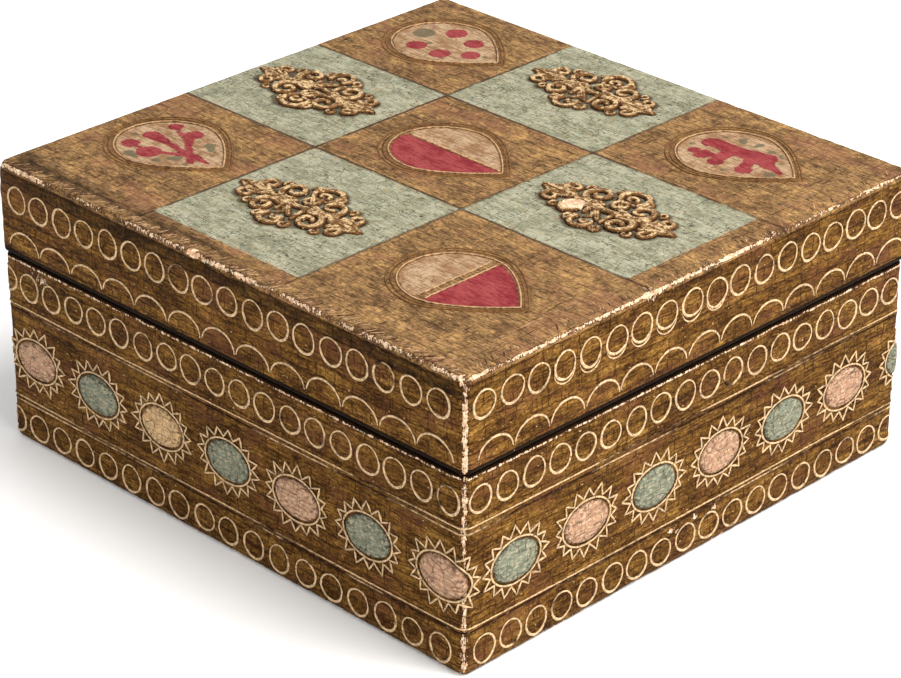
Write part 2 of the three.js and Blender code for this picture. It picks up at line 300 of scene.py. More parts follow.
LEAVES = {
    "back_left": ((-10.5, 1.0, 2.9), (-4.9, -2.9, 0.9), (11.2, 0.2, 0.9), (4.4, -7.4, 0.6)),
    "back_right": (
        (-1.4, 7.4, 0.7, -1.2, 9, 0.8), (6.4, 7.4, 0.9, 7.6, 6.2, 0.7), (10.8, -2.8, 1.5), (1.4, -8, 0.8),
        (-13.2, -1.9, 0.9), (-5.8, 7.9, 1.2, -4.8, 6.6, 0.7), (3.2, 7.4, 1.1), (9, 3.8, 0.8), (-10, 6.4, 0.7),
    ),
    "front_left": (
        (5.1, 5.8, 1.5, 7.2, 4.2, 0.7), (4.7, -3.9, 1.4, 3.6, -5.6, 0.8), (-5.4, -9.6, 1.4, -3, -10.2, 0.7),
        (2.2, -8, 1.2), (-12.6, -2, 0.8), (8.6, -4.8, 0.8), (9.6, 2.4, 0.6), (-5.2, 3.4, 0.5, -3.4, 2.6, 0.4),
    ),
}


def painting(points):
    """Signed distances, in millimetres, of every painted area of the lid's top."""
    green = np.min([rectangle_distance(points, cell) for cell in GREEN_CELLS], axis=0)
    x, y = points[..., 0], points[..., 1]
    lines = [np.abs(x - LEFT_LINE), np.abs(x - RIGHT_LINE), np.abs(y - BACK_LINE), np.abs(y - FRONT_LINE)]
    lines += [np.abs(x - RIGHT_BORDER) + BORDER_LINE_FADE, np.abs(y - FRONT_BORDER) + BORDER_LINE_FADE]
    grid = np.min(lines, axis=0)
    far = np.full(points.shape[:-1], FAR)
    cream, crimson, leaf, field = far.copy(), far.copy(), far.copy(), far.copy()
    for name, middle in SHIELDS.items():
        local = points - np.array(middle)
        near = (np.abs(local) < FIELD_REACH).all(-1)
        here = local[near]
        inside = polygon_distance(here, FIELD)
        motif = {
            "front_right": np.maximum(inside, -1.2 - here[:, 0]),
            "centre": np.maximum(inside, here[:, 1] - 0.3),
            "back_left": np.maximum(inside + 0.6, blobs_distance(here, ROUNDELS)),
            "back_right": np.maximum(inside + 0.6, blobs_distance(here, BEAST)),
            "front_left": np.maximum(inside + 0.4, blobs_distance(here, SPRIG)),
        }[name]
        pale = {
            "front_right": np.maximum(inside, here[:, 0] + 3.5),
            "centre": np.maximum(inside, 1.2 - here[:, 1]),
        }.get(name, inside)
        field[near] = np.minimum(field[near], inside)
        crimson[near] = motif
        cream[near] = pale
        if name in LEAVES:
            leaf[near] = np.maximum(inside + 0.5, blobs_distance(here, LEAVES[name]))
    carved = np.full(points.shape[:-1], -FAR)
    strokes = scroll_strokes()
    for middle in SCROLLS:
        local = points - np.array(middle)
        near = (np.abs(local) < SCROLL_REACH).all(-1)
        carved[near] = np.max([stroke_relief(local[near], line, height) for line, height in strokes], axis=0)
    return {
        "green": green, "grid": grid, "cream": cream, "crimson": crimson, "leaf": leaf, "field": field,
        "carved": carved,
    }


# Meshes


def add_object(name, points, faces, materials, values, stands_for=()):
    """A smooth mesh in millimetres with numbers at its points, riding on the box."""
    mesh = bpy.data.meshes.new(name)
    mesh.from_pydata((points * MM).tolist(), [], faces)
    for key, numbers in values.items():
        layer = mesh.attributes.new(key, "FLOAT", "POINT")
        layer.data.foreach_set("value", np.asarray(numbers, np.float32))
    for material in materials:
        mesh.materials.append(material)
    mesh.polygons.foreach_set("use_smooth", np.ones(len(mesh.polygons), bool))
    mesh.update()
    made = bpy.data.objects.new(name, mesh)
    bpy.context.scene.collection.objects.link(made)
    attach(made, "root")
    if stands_for:
        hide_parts(*stands_for)
    return made


def ring_faces(first, second, count):
    j = np.arange(count)
    k = (j + 1) % count
    return np.stack([first + j, first + k, second + k, second + j], -1)


def fan_faces(first, count, middle, facing):
    j = np.arange(count)
    k = (j + 1) % count
    pair = (first + j, first + k) if facing > 0 else (first + k, first + j)
    return [[middle, int(a), int(b)] for a, b in zip(*pair)]


class Strokes:
    """Gathers raised strokes, each a closed bar with a rounded back, into one mesh."""

    OFFSETS = np.array([-1, -0.62, 0, 0.62, 1])
    RISES = np.array([-0.2, 0.72, 1, 0.72, -0.2])
    CRESTS = np.array([0, 0.62, 1, 0.62, 0])
    CORNERS = len(OFFSETS)

    def __init__(self, surface):
        self.surface = surface
        self.points, self.faces, self.crests, self.fades = [], [], [], []
        self.count = 0

    def add(self, path, width, relief, closed=False, fade=1.0):
        """path is n points (u, v); width, relief and fade are numbers or one for each point."""
        path = np.asarray(path, float)
        n = len(path)
        width, relief, fade = (np.broadcast_to(value, (n,)).astype(float) for value in (width, relief, fade))
        if closed:
            run = np.roll(path, -1, 0) - np.roll(path, 1, 0)
        else:
            run = np.gradient(path, axis=0)
        run /= np.maximum(np.linalg.norm(run, axis=1, keepdims=True), 1e-9)
        across = np.stack([-run[:, 1], run[:, 0]], -1)
        spread = self.OFFSETS[None, :] * width[:, None] / 2
        u = path[:, :1] + across[:, :1] * spread
        v = path[:, 1:] + across[:, 1:] * spread
        out = np.where(self.RISES < 0, self.RISES[None, :], self.RISES[None, :] * relief[:, None])
        self.points.append(self.surface(u, v, out).reshape(-1, 3))
        self.crests.append(np.tile(self.CRESTS, n))
        c = self.CORNERS
        self.fades.append(np.repeat(fade, c))
        spans = n if closed else n - 1
        i = np.arange(spans)
        following = (i + 1) % n
        for k in range(c):
            m = (k + 1) % c
            quad = np.stack([i * c + k, following * c + k, following * c + m, i * c + m], -1)
            self.faces.append(quad + self.count)
        if not closed:
            last = (n - 1) * c + self.count
            self.faces.append(np.array([[self.count + k for k in range(c)]]))
            self.faces.append(np.array([[last + k for k in reversed(range(c))]]))
        self.count += c * n

    def finish(self, name, materials, slot):
        faces = [face for group in self.faces for face in group.tolist()]
        values = {"crest": np.concatenate(self.crests), "fade": np.concatenate(self.fades)}
        add_object(name, np.concatenate(self.points), faces, materials, values)


def wall_surface(outline):
    return lambda s, z, out: outline.place(s, z, out)


# Node materials


DULL_GLOSS = 0.03
LEVEL_NORMAL = 0.75
WALL_SLICE = 37.0


class Nodes:
    """Short hands for a node tree."""

    def __init__(self, name):
        self.material = bpy.data.materials.new(name)
        self.material.use_nodes = True
        self.tree = self.material.node_tree
        self.shader = self.tree.nodes["Principled BSDF"]
        self.coords = None

    def node(self, kind, inputs=None, **settings):
        made = self.tree.nodes.new(kind)
        for key, value in settings.items():
            setattr(made, key, value)
        for key, value in (inputs or {}).items():
            self.join(value, made.inputs[key])
        return made

    def join(self, value, socket):
        if isinstance(value, bpy.types.NodeSocket):
            self.tree.links.new(value, socket)
        elif isinstance(value, tuple) and socket.type == "RGBA" and len(value) == 3:
            socket.default_value = (*value, 1)
        else:
            socket.default_value = value

    def value(self, name):
        return self.node("ShaderNodeAttribute", attribute_name=name).outputs["Fac"]

    def math(self, operation, a, b=0.0, clamp=False):
        return self.node("ShaderNodeMath", {0: a, 1: b}, operation=operation, use_clamp=clamp).outputs[0]

    def vector(self, operation, a, b):
        """Vector arithmetic. For SCALE, b is a number."""
        second = 3 if operation == "SCALE" else 1
        return self.node("ShaderNodeVectorMath", {0: a, second: b}, operation=operation).outputs[0]

    def times(self, a, b):
        return self.math("MULTIPLY", a, b)

    def plus(self, a, b):
        return self.math("ADD", a, b)

    def minus(self, a, b):
        return self.math("SUBTRACT", a, b)

    def most(self, a, b):
        return self.math("MAXIMUM", a, b)

    def between(self, share, a, b):
        return self.plus(self.times(self.minus(1.0, share), a), self.times(share, b))

    def step(self, value, low, high):
        """0 below low, 1 above high, and smooth between; falls if low is above high."""
        ends = {"Value": value, "From Min": low, "From Max": high}
        return self.node("ShaderNodeMapRange", ends, interpolation_type="SMOOTHSTEP").outputs["Result"]

    def patches(self, x, y, detail, seed, low, high, rough=0.55):
        """Noise cut off sharply enough to leave separate patches, as 1 on a patch."""
        return self.step(self.noise(x, y, detail, seed, rough), low, high)

    def mix(self, share, a, b):
        made = self.node("ShaderNodeMix", data_type="RGBA", clamp_factor=True)
        self.join(share, made.inputs[0])
        self.join(a, made.inputs[6])
        self.join(b, made.inputs[7])
        return made.outputs[2]

    def tint(self, colour, share, strength, tone):
        """The colour with some of a tone laid over it where share is 1."""
        return self.mix(self.times(share, strength), colour, tone)

    def scaled(self, x, y, z=0.0):
        """The pattern place, in millimetres, stretched."""
        return self.vector("MULTIPLY", self.place(), (x, y, z))

    def place(self):
        """Walls unrolled to (x + y, z), level faces as (x, y), both in millimetres."""
        if self.coords is None:
            spot = self.node("ShaderNodeTexCoord").outputs["Object"]
            x, y, z = self.split(self.vector("SCALE", spot, 1 / MM))
            facing = self.node("ShaderNodeNewGeometry").outputs["Normal"]
            level = self.math("GREATER_THAN", self.math("ABSOLUTE", self.split(facing)[2]), LEVEL_NORMAL)
            wall = self.node("ShaderNodeCombineXYZ", {0: self.plus(x, y), 1: z, 2: WALL_SLICE}).outputs[0]
            flat = self.node("ShaderNodeCombineXYZ", {0: x, 1: y, 2: z}).outputs[0]
            both = self.node("ShaderNodeMix", data_type="VECTOR")
            self.join(level, both.inputs[0])
            self.join(wall, both.inputs[4])
            self.join(flat, both.inputs[5])
            self.coords = both.outputs[1]
        return self.coords

    def split(self, vector):
        return self.node("ShaderNodeSeparateXYZ", {0: vector}).outputs

    def noise(self, x, y, detail=3.0, seed=0.0, rough=0.55):
        at = self.vector("ADD", self.scaled(x, y, 0.02), (seed * 7.3, seed * 3.1, seed))
        shape = {"Vector": at, "Scale": 1.0, "Detail": detail, "Roughness": rough}
        return self.node("ShaderNodeTexNoise", shape).outputs["Fac"]

    def shaken(self, at, fineness, detail, reach, move):
        """A pattern place pushed about by noise, then moved."""
        around = {"Vector": self.scaled(fineness, fineness), "Scale": 1.0, "Detail": detail}
        shake = self.vector("SCALE", self.node("ShaderNodeTexNoise", around).outputs["Color"], reach)
        return self.vector("ADD", self.vector("ADD", at, shake), move)

    def cracks(self, cell_x, cell_y, width, seed):
        """Fine cracks between stretched cells, as 1 on the crack. Cells are in millimetres."""
        at = self.shaken(self.scaled(1 / cell_x, 1 / cell_y), 0.35, 3.0, 0.35, (seed * 5.7, seed * 9.1, 0))
        made = self.node(
            "ShaderNodeTexVoronoi", {"Vector": at, "Scale": 1.0, "Randomness": 0.85},
            feature="DISTANCE_TO_EDGE", voronoi_dimensions="2D",
        )
        return self.step(made.outputs["Distance"], width, width * 0.25)

    def crackle(self, wide, high, gap, seed, reach=2.2):
        """Cracks that run mostly level and upright, as 1 on the crack. Sizes are in millimetres."""
        at = self.shaken(self.place(), 0.28, 5.0, reach, (seed * 57.0, seed * 91.0, 0))
        courses = {"Mortar Size": gap, "Mortar Smooth": 0.5, "Brick Width": wide, "Row Height": high}
        made = self.node(
            "ShaderNodeTexBrick", {"Vector": at, "Scale": 1.0, **courses},
            offset=0.37, offset_frequency=3, squash=1.7, squash_frequency=2,
        )
        return made.outputs["Fac"]

    def finish(self, colour, roughness, height=None, strength=0.5, distance=0.0003, metallic=None):
        self.shader.inputs["Specular IOR Level"].default_value = DULL_GLOSS
        self.join(colour, self.shader.inputs["Base Color"])
        self.join(roughness, self.shader.inputs["Roughness"])
        if metallic is not None:
            self.join(metallic, self.shader.inputs["Metallic"])
        if height is not None:
            bump = self.node("ShaderNodeBump", {"Strength": strength, "Distance": distance, "Height": height})
            self.join(bump.outputs[0], self.shader.inputs["Normal"])
        return self.material


def srgb(red, green, blue):
    """Linear colour from one in the usual 0 to 255 steps."""
    shares = (red / 255, green / 255, blue / 255)
    return tuple(c / 12.92 if c <= 0.04045 else ((c + 0.055) / 1.055) ** 2.4 for c in shares)


# Tones laid over the main colours
CRACK_BROWN = srgb(40, 18, 3)
GOLD_SPECK = srgb(196, 160, 112)
# Painted shadow round bare chips
CHIP_SHADOW = srgb(44, 22, 12)
# Painted shade in the seams, and the dark of the other darkening laid with it
SEAM_DARK = srgb(10, 4, 1)
GREEN_FLECK = srgb(50, 42, 26)
GREEN_CHALK = srgb(196, 190, 164)
GREEN_CRACK = srgb(66, 58, 38)
# Painted shadow on the green round the carvings
CARVING_SHADOW_BROWN = srgb(52, 36, 22)
CREAM_BRUSHED = srgb(112, 80, 54)
CREAM_FLECK = srgb(78, 52, 34)
CREAM_CRACK = srgb(86, 62, 40)
LEAF_DARK = srgb(66, 60, 42)
CRIMSON_RIM = srgb(54, 18, 18)
CRIMSON_FLECK = srgb(66, 24, 24)
CRIMSON_CHALK = srgb(176, 104, 96)
SCORED_LINE = srgb(50, 28, 16)
LINE_GLINT = srgb(176, 138, 104)
# Carving tones: painted shade in the hollows, the body, and a painted highlight on the ridges
CARVED_HOLLOW_SHADE = srgb(32, 19, 8)
CARVED_BODY = srgb(99, 68, 37)
CARVED_RIDGE_HIGHLIGHT = srgb(210, 180, 136)
CARVED_ROSY = srgb(96, 54, 40)
CARVED_GRIT = srgb(38, 22, 12)
CARVED_SPECK = srgb(196, 164, 126)
JEWEL_CHALK = srgb(206, 184, 152)
JEWEL_CRACK = srgb(62, 42, 26)
JEWEL_RIM_DARK = srgb(58, 34, 18)
ROSY_BROWN = srgb(98, 58, 38)
ROSY_TOP = srgb(132, 88, 66)
# Tones named FOOT are the dark of a raised line away from its back: painted shadow at its foot, and the
# line's own dark where it is rubbed or flawed
LINE_FOOT = srgb(40, 24, 11)
MOULDING_GOLD = srgb(204, 170, 128)
MOULDING_FOOT = srgb(34, 16, 5)
RAY_FOOT_BROWN = srgb(44, 26, 12)
SHIELD_GOLD = srgb(186, 148, 108)
SHIELD_FOOT = srgb(54, 32, 18)
SHIELD_DULL = srgb(122, 86, 50)
SHIELD_DULL_FOOT = srgb(44, 26, 14)
TICK_GOLD = srgb(190, 152, 112)
TICK_FOOT = srgb(52, 30, 18)
HALO_BROWN = srgb(78, 48, 27)


def aged_gilding(n, wall_tones, top_tones=None):
    """Brown-glazed gilding: streaks, mottling, broken crackle and pale specks.

    Each set of tones is dark, middle, light and rosy. Returns the colour, the height and the crackle.
    """
    palette = wall_tones
    if top_tones:
        palette = [n.mix(n.value("level"), a, b) for a, b in zip(wall_tones, top_tones)]
    dark, middle, light, rosy = palette
    streak = n.noise(0.05, 0.7, 6.0, 1, 0.7)
    fine = n.noise(0.4, 2.6, 5.0, 2, 0.65)
    mottle = n.noise(0.11, 0.16, 5.0, 4, 0.6)
    grain = n.noise(1.2, 1.9, 5.0, 5, 0.65)
    tone = n.plus(n.times(streak, 0.26), n.times(fine, 0.28))
    if top_tones:
        cloud, brushed = n.noise(0.3, 0.42, 6.0, 12, 0.66), n.noise(0.5, 2.2, 4.0, 13)
        tone = n.between(n.value("level"), tone, n.plus(n.times(cloud, 0.26), n.times(brushed, 0.28)))
    tone = n.plus(tone, n.times(mottle, 0.2))
    tone = n.plus(tone, n.times(grain, 0.26))
    colour = n.mix(n.step(tone, 0.42, 0.53), dark, middle)
    colour = n.mix(n.step(tone, 0.50, 0.62), colour, light)
    pink = n.patches(0.07, 0.12, 4.0, 6, 0.5, 0.66)
    colour = n.tint(colour, pink, 0.45, rosy)
    dash = n.times(n.step(fine, 0.57, 0.66), n.patches(0.12, 0.16, 2.0, 7, 0.4, 0.6))
    upright = n.times(n.patches(2.4, 0.16, 3.0, 3, 0.59, 0.66), n.patches(0.13, 0.13, 2.0, 10, 0.42, 0.58))
    broken = n.patches(0.33, 0.33, 3.0, 8, 0.38, 0.52)
    second = n.patches(0.3, 0.3, 3.0, 11, 0.46, 0.6)
    net = n.most(n.times(n.crackle(5.6, 2.7, 0.2, 1), broken), n.times(n.crackle(3.0, 4.6, 0.17, 2), second))
    if top_tones:
        net = n.times(net, n.between(n.value("level"), 1.0, 0.6))
    dirt = n.most(n.times(net, 0.74), n.times(n.most(dash, upright), 0.75))
    colour = n.mix(dirt, colour, CRACK_BROWN)
    speck = n.patches(1.0, 1.5, 2.0, 9, 0.71, 0.77, 0.4)
    colour = n.tint(colour, speck, 0.7, GOLD_SPECK)
    height = n.plus(n.times(grain, 0.4), n.times(fine, 0.5))
    height = n.minus(height, n.times(net, 0.7))
    return colour, height, net


def add_wear(n, colours, colour, height, threshold=0.0):
    """Bare gesso where the point number wear is high, with ragged edges and a dark rim painted round it as
    the chip's shadow.
    """
    wear = n.value("wear")
    ragged = n.plus(n.times(n.noise(0.7, 0.9, 5.0, 21, 0.7), 0.8), n.times(n.noise(2.6, 2.6, 3.0, 22), 0.4))
    ragged = n.plus(ragged, n.times(n.noise(1.9, 0.4, 3.0, 24, 0.6), 0.8))
    level = n.minus(n.plus(wear, ragged), 1.35 + threshold)
    bare = n.step(level, 0.14, 0.22)
    # Painted shadow: a dark rim round the bare gesso
    rim = n.times(n.step(level, -0.04, 0.12), n.minus(1.0, bare))
    colour = n.tint(colour, rim, 0.8, CHIP_SHADOW)
    chalk = n.mix(n.patches(1.0, 1.4, 4.0, 23, 0.4, 0.6), colours["gesso_shade"], colours["gesso"])
    colour = n.mix(bare, colour, chalk)
    height = n.minus(height, n.times(bare, 0.8))
    return colour, height, bare


def gilded_material(name, colours, wall_tones, top_tones=None):
    """Aged gilding with painted shade, darkening and wear, and with the painting where there are tones for a
    top.
    """
    n = Nodes(name)
    colour, height, net = aged_gilding(n, wall_tones, top_tones)
    if top_tones:
        colour, height = paint_the_lid(n, colours, colour, height, net)
    # The number read here marks painted shade in the seam and under the top edge, with other darkening
    grime = n.value("grime")
    shade = n.times(n.step(n.plus(grime, n.times(n.noise(0.3, 0.5, 4.0, 30), 0.6)), 0.55, 1.35), 0.94)
    colour = n.mix(shade, colour, SEAM_DARK)
    colour, height, bare = add_wear(n, colours, colour, height)
    rough = n.plus(n.times(n.noise(0.8, 1.2, 4.0, 31), 0.3), 0.4)
    rough = n.math("ADD", rough, n.times(bare, 0.3), clamp=True)
    metallic = n.times(n.minus(1.0, n.most(bare, shade)), 0.12)
    return n.finish(colour, rough, height, 0.7, 0.00035, metallic)


def paint_the_lid(n, colours, colour, height, net):
    """Lays the chequer, the shields and their motifs over the gilding, with ragged painted edges."""
    wobble = n.minus(n.noise(0.5, 0.5, 3.0, 41), 0.5)
    fray = n.plus(n.times(wobble, 0.7), n.times(n.minus(n.noise(2.6, 2.6, 3.0, 42), 0.5), 0.5))
    level = n.value("level")
    cloud = n.noise(0.22, 0.3, 5.0, 43)
    brushed = n.noise(0.35, 2.2, 4.0, 44)
    brushed_up = n.noise(2.0, 0.3, 4.0, 45)

    def area(name, soft=0.12, ragged=1.0):
        return n.times(n.step(n.plus(n.value(name), n.times(fray, ragged)), soft, -soft), level)

    def brushwork(light, dark):
        strokes = n.step(n.plus(n.times(cloud, 0.5), n.times(brushed, 0.5)), 0.4, 0.6)
        return n.tint(dark, strokes, 0.8, light)

    green = area("green")
    sage = brushwork(colours["sage_light"], colours["sage"])
    sage = n.tint(sage, n.patches(0.5, 1.0, 4.0, 46, 0.52, 0.68), 0.55, colours["sage_beige"])
    streaks = n.times(n.patches(0.7, 3.0, 3.0, 47, 0.58, 0.64), n.patches(0.2, 0.2, 2.0, 48, 0.4, 0.6))
    streaks = n.most(streaks, n.times(n.patches(3.0, 0.7, 3.0, 49, 0.6, 0.66), 0.8))
    dots = n.times(n.patches(1.5, 1.1, 4.0, 57, 0.57, 0.63, 0.7), n.patches(0.35, 0.35, 2.0, 58, 0.4, 0.55))
    streaks = n.most(streaks, n.times(dots, 0.75))
    sage = n.tint(sage, streaks, 0.95, GREEN_FLECK)
    worn = n.times(n.patches(0.8, 1.3, 5.0, 55, 0.6, 0.68, 0.65), 0.55)
    sage = n.mix(worn, sage, GREEN_CHALK)
    net_green = n.most(n.crackle(4.2, 3.1, 0.1, 5, 3.0), n.cracks(7.0, 5.0, 0.022, 6))
    net_green = n.times(net_green, n.patches(0.26, 0.26, 3.0, 50, 0.4, 0.58))
    sage = n.tint(sage, net_green, 0.44, GREEN_CRACK)
    # Painted shadow on the green round the carvings
    hollow = n.step(n.plus(n.value("carved"), n.times(wobble, 0.8)), -1.7, -0.1)
    sage = n.tint(sage, hollow, 0.75, CARVING_SHADOW_BROWN)
    colour = n.mix(green, colour, sage)
    height = n.mix(green, height, n.minus(n.times(brushed, 0.6), n.times(net_green, 0.7)))

    halo = n.times(n.step(n.value("field"), 3.4, 0.4), n.step(n.value("field"), -0.4, 0.4))
    colour = n.tint(colour, halo, 0.4, HALO_BROWN)

    cream = area("cream")
    ivory = brushwork(colours["cream"], colours["cream_shade"])
    ivory = n.tint(ivory, n.step(brushed_up, 0.54, 0.64), 0.5, CREAM_BRUSHED)
    ivory = n.tint(ivory, n.patches(1.7, 1.7, 3.0, 56, 0.6, 0.68), 0.7, CREAM_FLECK)
    ivory = n.tint(ivory, net, 0.5, CREAM_CRACK)
    colour = n.mix(cream, colour, ivory)
    leaf = area("leaf", 0.25, 1.7)
    colour = n.tint(colour, leaf, 0.8, n.mix(brushed, colours["leaf"], LEAF_DARK))
    crimson = area("crimson", 0.2, 1.7)
    rose = brushwork(colours["crimson_light"], colours["crimson"])
    inner = n.plus(n.value("crimson"), fray)
    rim = n.times(n.step(inner, -0.9, -0.1), n.patches(1.6, 1.6, 3.0, 51, 0.5, 0.66))
    rose = n.tint(rose, rim, 0.85, CRIMSON_RIM)
    rose = n.tint(rose, n.patches(1.5, 1.5, 3.0, 52, 0.62, 0.7), 0.8, CRIMSON_FLECK)
    rose = n.tint(rose, n.patches(1.1, 2.0, 4.0, 59, 0.6, 0.7), 0.35, CRIMSON_CHALK)
    colour = n.mix(crimson, colour, rose)
    paint = n.most(cream, crimson)
    height = n.mix(paint, height, n.times(brushed, 0.4))

    grid = n.plus(n.value("grid"), n.times(wobble, 0.25))
    line = n.times(n.times(n.step(grid, 0.55, 0.25), level), n.patches(0.12, 0.12, 3.0, 53, 0.25, 0.5))
    colour = n.tint(colour, line, 0.8, SCORED_LINE)
    glint = n.times(n.step(grid, 0.62, 0.8), n.step(grid, 1.15, 0.95))
    glint = n.times(glint, n.patches(0.6, 0.6, 3.0, 54, 0.5, 0.62))
    colour = n.tint(colour, n.times(glint, level), 0.5, LINE_GLINT)
    height = n.minus(height, n.times(line, 1.2))
    return colour, height


def line_material(name, light, shade):
    """Raised gold line: bright back and dark foot, the foot's dark a painted shadow; rubbed in places."""
    n = Nodes(name)
    crest = n.value("crest")
    fade = n.value("fade")
    rub = n.noise(0.6, 0.6, 4.0, 61)
    bright = n.step(n.plus(crest, n.times(n.minus(rub, 0.5), 1.0)), 0.3, 0.74)
    bright = n.times(bright, n.step(n.plus(fade, n.times(rub, 0.8)), 0.4, 0.95))
    warm = n.mix(n.patches(1.1, 1.1, 3.0, 62, 0.38, 0.6), tuple(c * 0.6 for c in light), light)
    # Away from the back, at the foot, the dark tone is painted shadow
    colour = n.mix(bright, shade, warm)
    flaw = n.patches(1.5, 1.5, 3.0, 63, 0.6, 0.68)
    colour = n.tint(colour, flaw, 0.7, shade)
    rough = n.plus(n.times(rub, 0.25), 0.4)
    return n.finish(colour, rough, n.noise(1.6, 1.6, 4.0, 64), 0.4, 0.0002)


def carved_material(name, colours):
    """Scroll carving: brown gold, with painted shade in the hollows and a painted highlight along the ridges.
    """
    n = Nodes(name)
    crest = n.value("crest")
    rub = n.noise(0.8, 0.8, 5.0, 71, 0.65)
    lit = n.plus(crest, n.times(n.minus(rub, 0.5), 0.9))
    # Painted shade where the carving is low and a painted highlight along its ridges
    colour = n.mix(n.step(lit, 0.2, 0.6), CARVED_HOLLOW_SHADE, CARVED_BODY)
    colour = n.tint(colour, n.step(lit, 0.74, 0.92), 0.9, CARVED_RIDGE_HIGHLIGHT)
    rosy = n.patches(0.35, 0.35, 3.0, 72, 0.5, 0.66)
    colour = n.tint(colour, rosy, 0.2, CARVED_ROSY)
    grit = n.patches(1.8, 1.8, 3.0, 75, 0.58, 0.66)
    colour = n.tint(colour, grit, 0.7, CARVED_GRIT)
    speck = n.patches(1.6, 1.6, 2.0, 73, 0.66, 0.72)
    colour = n.tint(colour, speck, 0.7, CARVED_SPECK)
    colour, height, _ = add_wear(n, colours, colour, n.noise(1.2, 1.2, 4.0, 74), 0.1)
    rough = n.plus(n.times(rub, 0.2), 0.42)
    return n.finish(colour, rough, height, 0.6, 0.0003, n.times(n.step(lit, 0.3, 0.8), 0.15))


def jewel_material(name, light, dark, paleness):
    """Painted jewel: brushed colour, cracked, darker towards its rim."""
    n = Nodes(name)
    reach = n.value("reach")
    brushed = n.noise(0.4, 1.3, 5.0, 81, 0.65)
    colour = n.mix(n.step(brushed, 0.4, 0.6), dark, light)
    pale = n.patches(0.9, 1.8, 5.0, 82, 0.5, 0.62, 0.62)
    colour = n.tint(colour, pale, paleness, JEWEL_CHALK)
    net = n.most(n.crackle(3.2, 2.4, 0.12, 8, 2.6), n.cracks(3.0, 4.2, 0.04, 8))
    net = n.times(net, n.patches(0.35, 0.35, 3.0, 83, 0.4, 0.6))
    colour = n.tint(colour, net, 0.7, JEWEL_CRACK)
    rim_darkening = n.step(n.plus(reach, n.times(n.noise(0.8, 0.8, 4.0, 84), 0.5)), 1.1, 1.4)
    colour = n.tint(colour, rim_darkening, 0.85, JEWEL_RIM_DARK)
    fleck = n.patches(1.0, 1.3, 5.0, 85, 0.51, 0.6, 0.68)
    fleck = n.times(fleck, n.step(n.plus(reach, n.noise(0.4, 0.4, 2.0, 86)), 0.75, 1.35))
    colour = n.tint(colour, fleck, 0.85, tuple(c * 0.22 for c in light))
    height = n.minus(n.times(brushed, 0.5), net)
    return n.finish(colour, n.plus(n.times(brushed, 0.2), 0.45), height, 0.5, 0.0003)


def palette_of(tones):
    """The linear colours that every material mixes from."""
    named = {key: tuple(getattr(tones, key)) for key in ("sage", "crimson", "cream", "gesso")}
    named["sage_light"] = srgb(166, 164, 142)
    named["sage_beige"] = srgb(148, 132, 98)
    named["crimson_light"] = srgb(148, 68, 67)
    named["cream_shade"] = srgb(134, 100, 70)
    named["gesso_shade"] = srgb(184, 144, 112)
    named["leaf"] = srgb(98, 96, 74)
    return named


# What a user may change


def length_property(name, description, millimetres, least, most):
    return bpy.props.FloatProperty(
        name=name, description=description, default=millimetres * MM, min=least * MM, max=most * MM,
        unit="LENGTH")


def colour_property(name, description, colour):
    return bpy.props.FloatVectorProperty(
        name=name, description=description, default=colour, min=0, max=1, size=3, subtype="COLOR")


class TrinketBoxSizes(bpy.types.PropertyGroup):
    ring_diameter: length_property("Ring diameter", "Outer size of a ring", 7, 3, 12)
    ring_width: length_property("Ring width", "Width of a ring's raised line", 0.76, 0.3, 3)
    line_relief: length_property("Line relief", "How far raised lines stand out", 0.24, 0, 1)
    jewel_length: length_property("Jewel length", "Long way of an oval jewel", 14.2, 4, 18)
    jewel_breadth: length_property("Jewel breadth", "Short way of an oval jewel", 10, 4, 18)
    wear: bpy.props.FloatProperty(
        name="Wear", description="How much gesso shows along the edges", default=1, min=0, max=2,
        subtype="FACTOR")


class TrinketBoxColours(bpy.types.PropertyGroup):
    gilt_dark: colour_property("Dark gilding", "Glazed brown in the gilding", srgb(42, 21, 3))
    gilt: colour_property("Gilding", "Main tone of the gilding", srgb(98, 65, 23))
    gilt_light: colour_property("Light gilding", "Rubbed gold in the gilding", srgb(160, 120, 57))
    line_gold: colour_property("Line gold", "Backs of the raised lines", srgb(206, 174, 134))
    sage: colour_property("Sage", "Painted green cells", srgb(122, 122, 101))
    crimson: colour_property("Crimson", "Painted crimson", srgb(116, 35, 41))
    cream: colour_property("Cream", "Painted cream", srgb(182, 156, 126))
    gesso: colour_property("Gesso", "Bare ground where the paint is gone", srgb(214, 190, 160))
    jewel_pink: colour_property("Pink jewels", "Every other jewel", srgb(168, 130, 104))
    jewel_green: colour_property("Green jewels", "The jewels between", srgb(117, 121, 103))
    jewel_cream: colour_property("Cream jewel", "The one odd jewel", srgb(190, 154, 110))
    inside: colour_property("Inside", "Stained wood inside and below", srgb(78, 48, 27))


class BoxOperator:
    """What the operators share."""

    bl_options = {"REGISTER", "UNDO"}


def gilding_tones(tones, strength=1.0):
    """Dark, middle, light and rosy tones of the walls."""
    named = [tones.gilt_dark, tones.gilt, tones.gilt_light, ROSY_BROWN]
    return [tuple(c * strength for c in tone) for tone in named]


def level_tones(tones):
    """The same for the lid's top, paler and pinker than the walls."""
    paler = (
        (tones.gilt_dark, (0.062, 0.039, 0.018)), (tones.gilt, (0.11, 0.076, 0.044)),
        (tones.gilt_light, (0.115, 0.082, 0.056)),
    )
    return [tuple(a + b for a, b in zip(tone, more)) for tone, more in paler] + [ROSY_TOP]


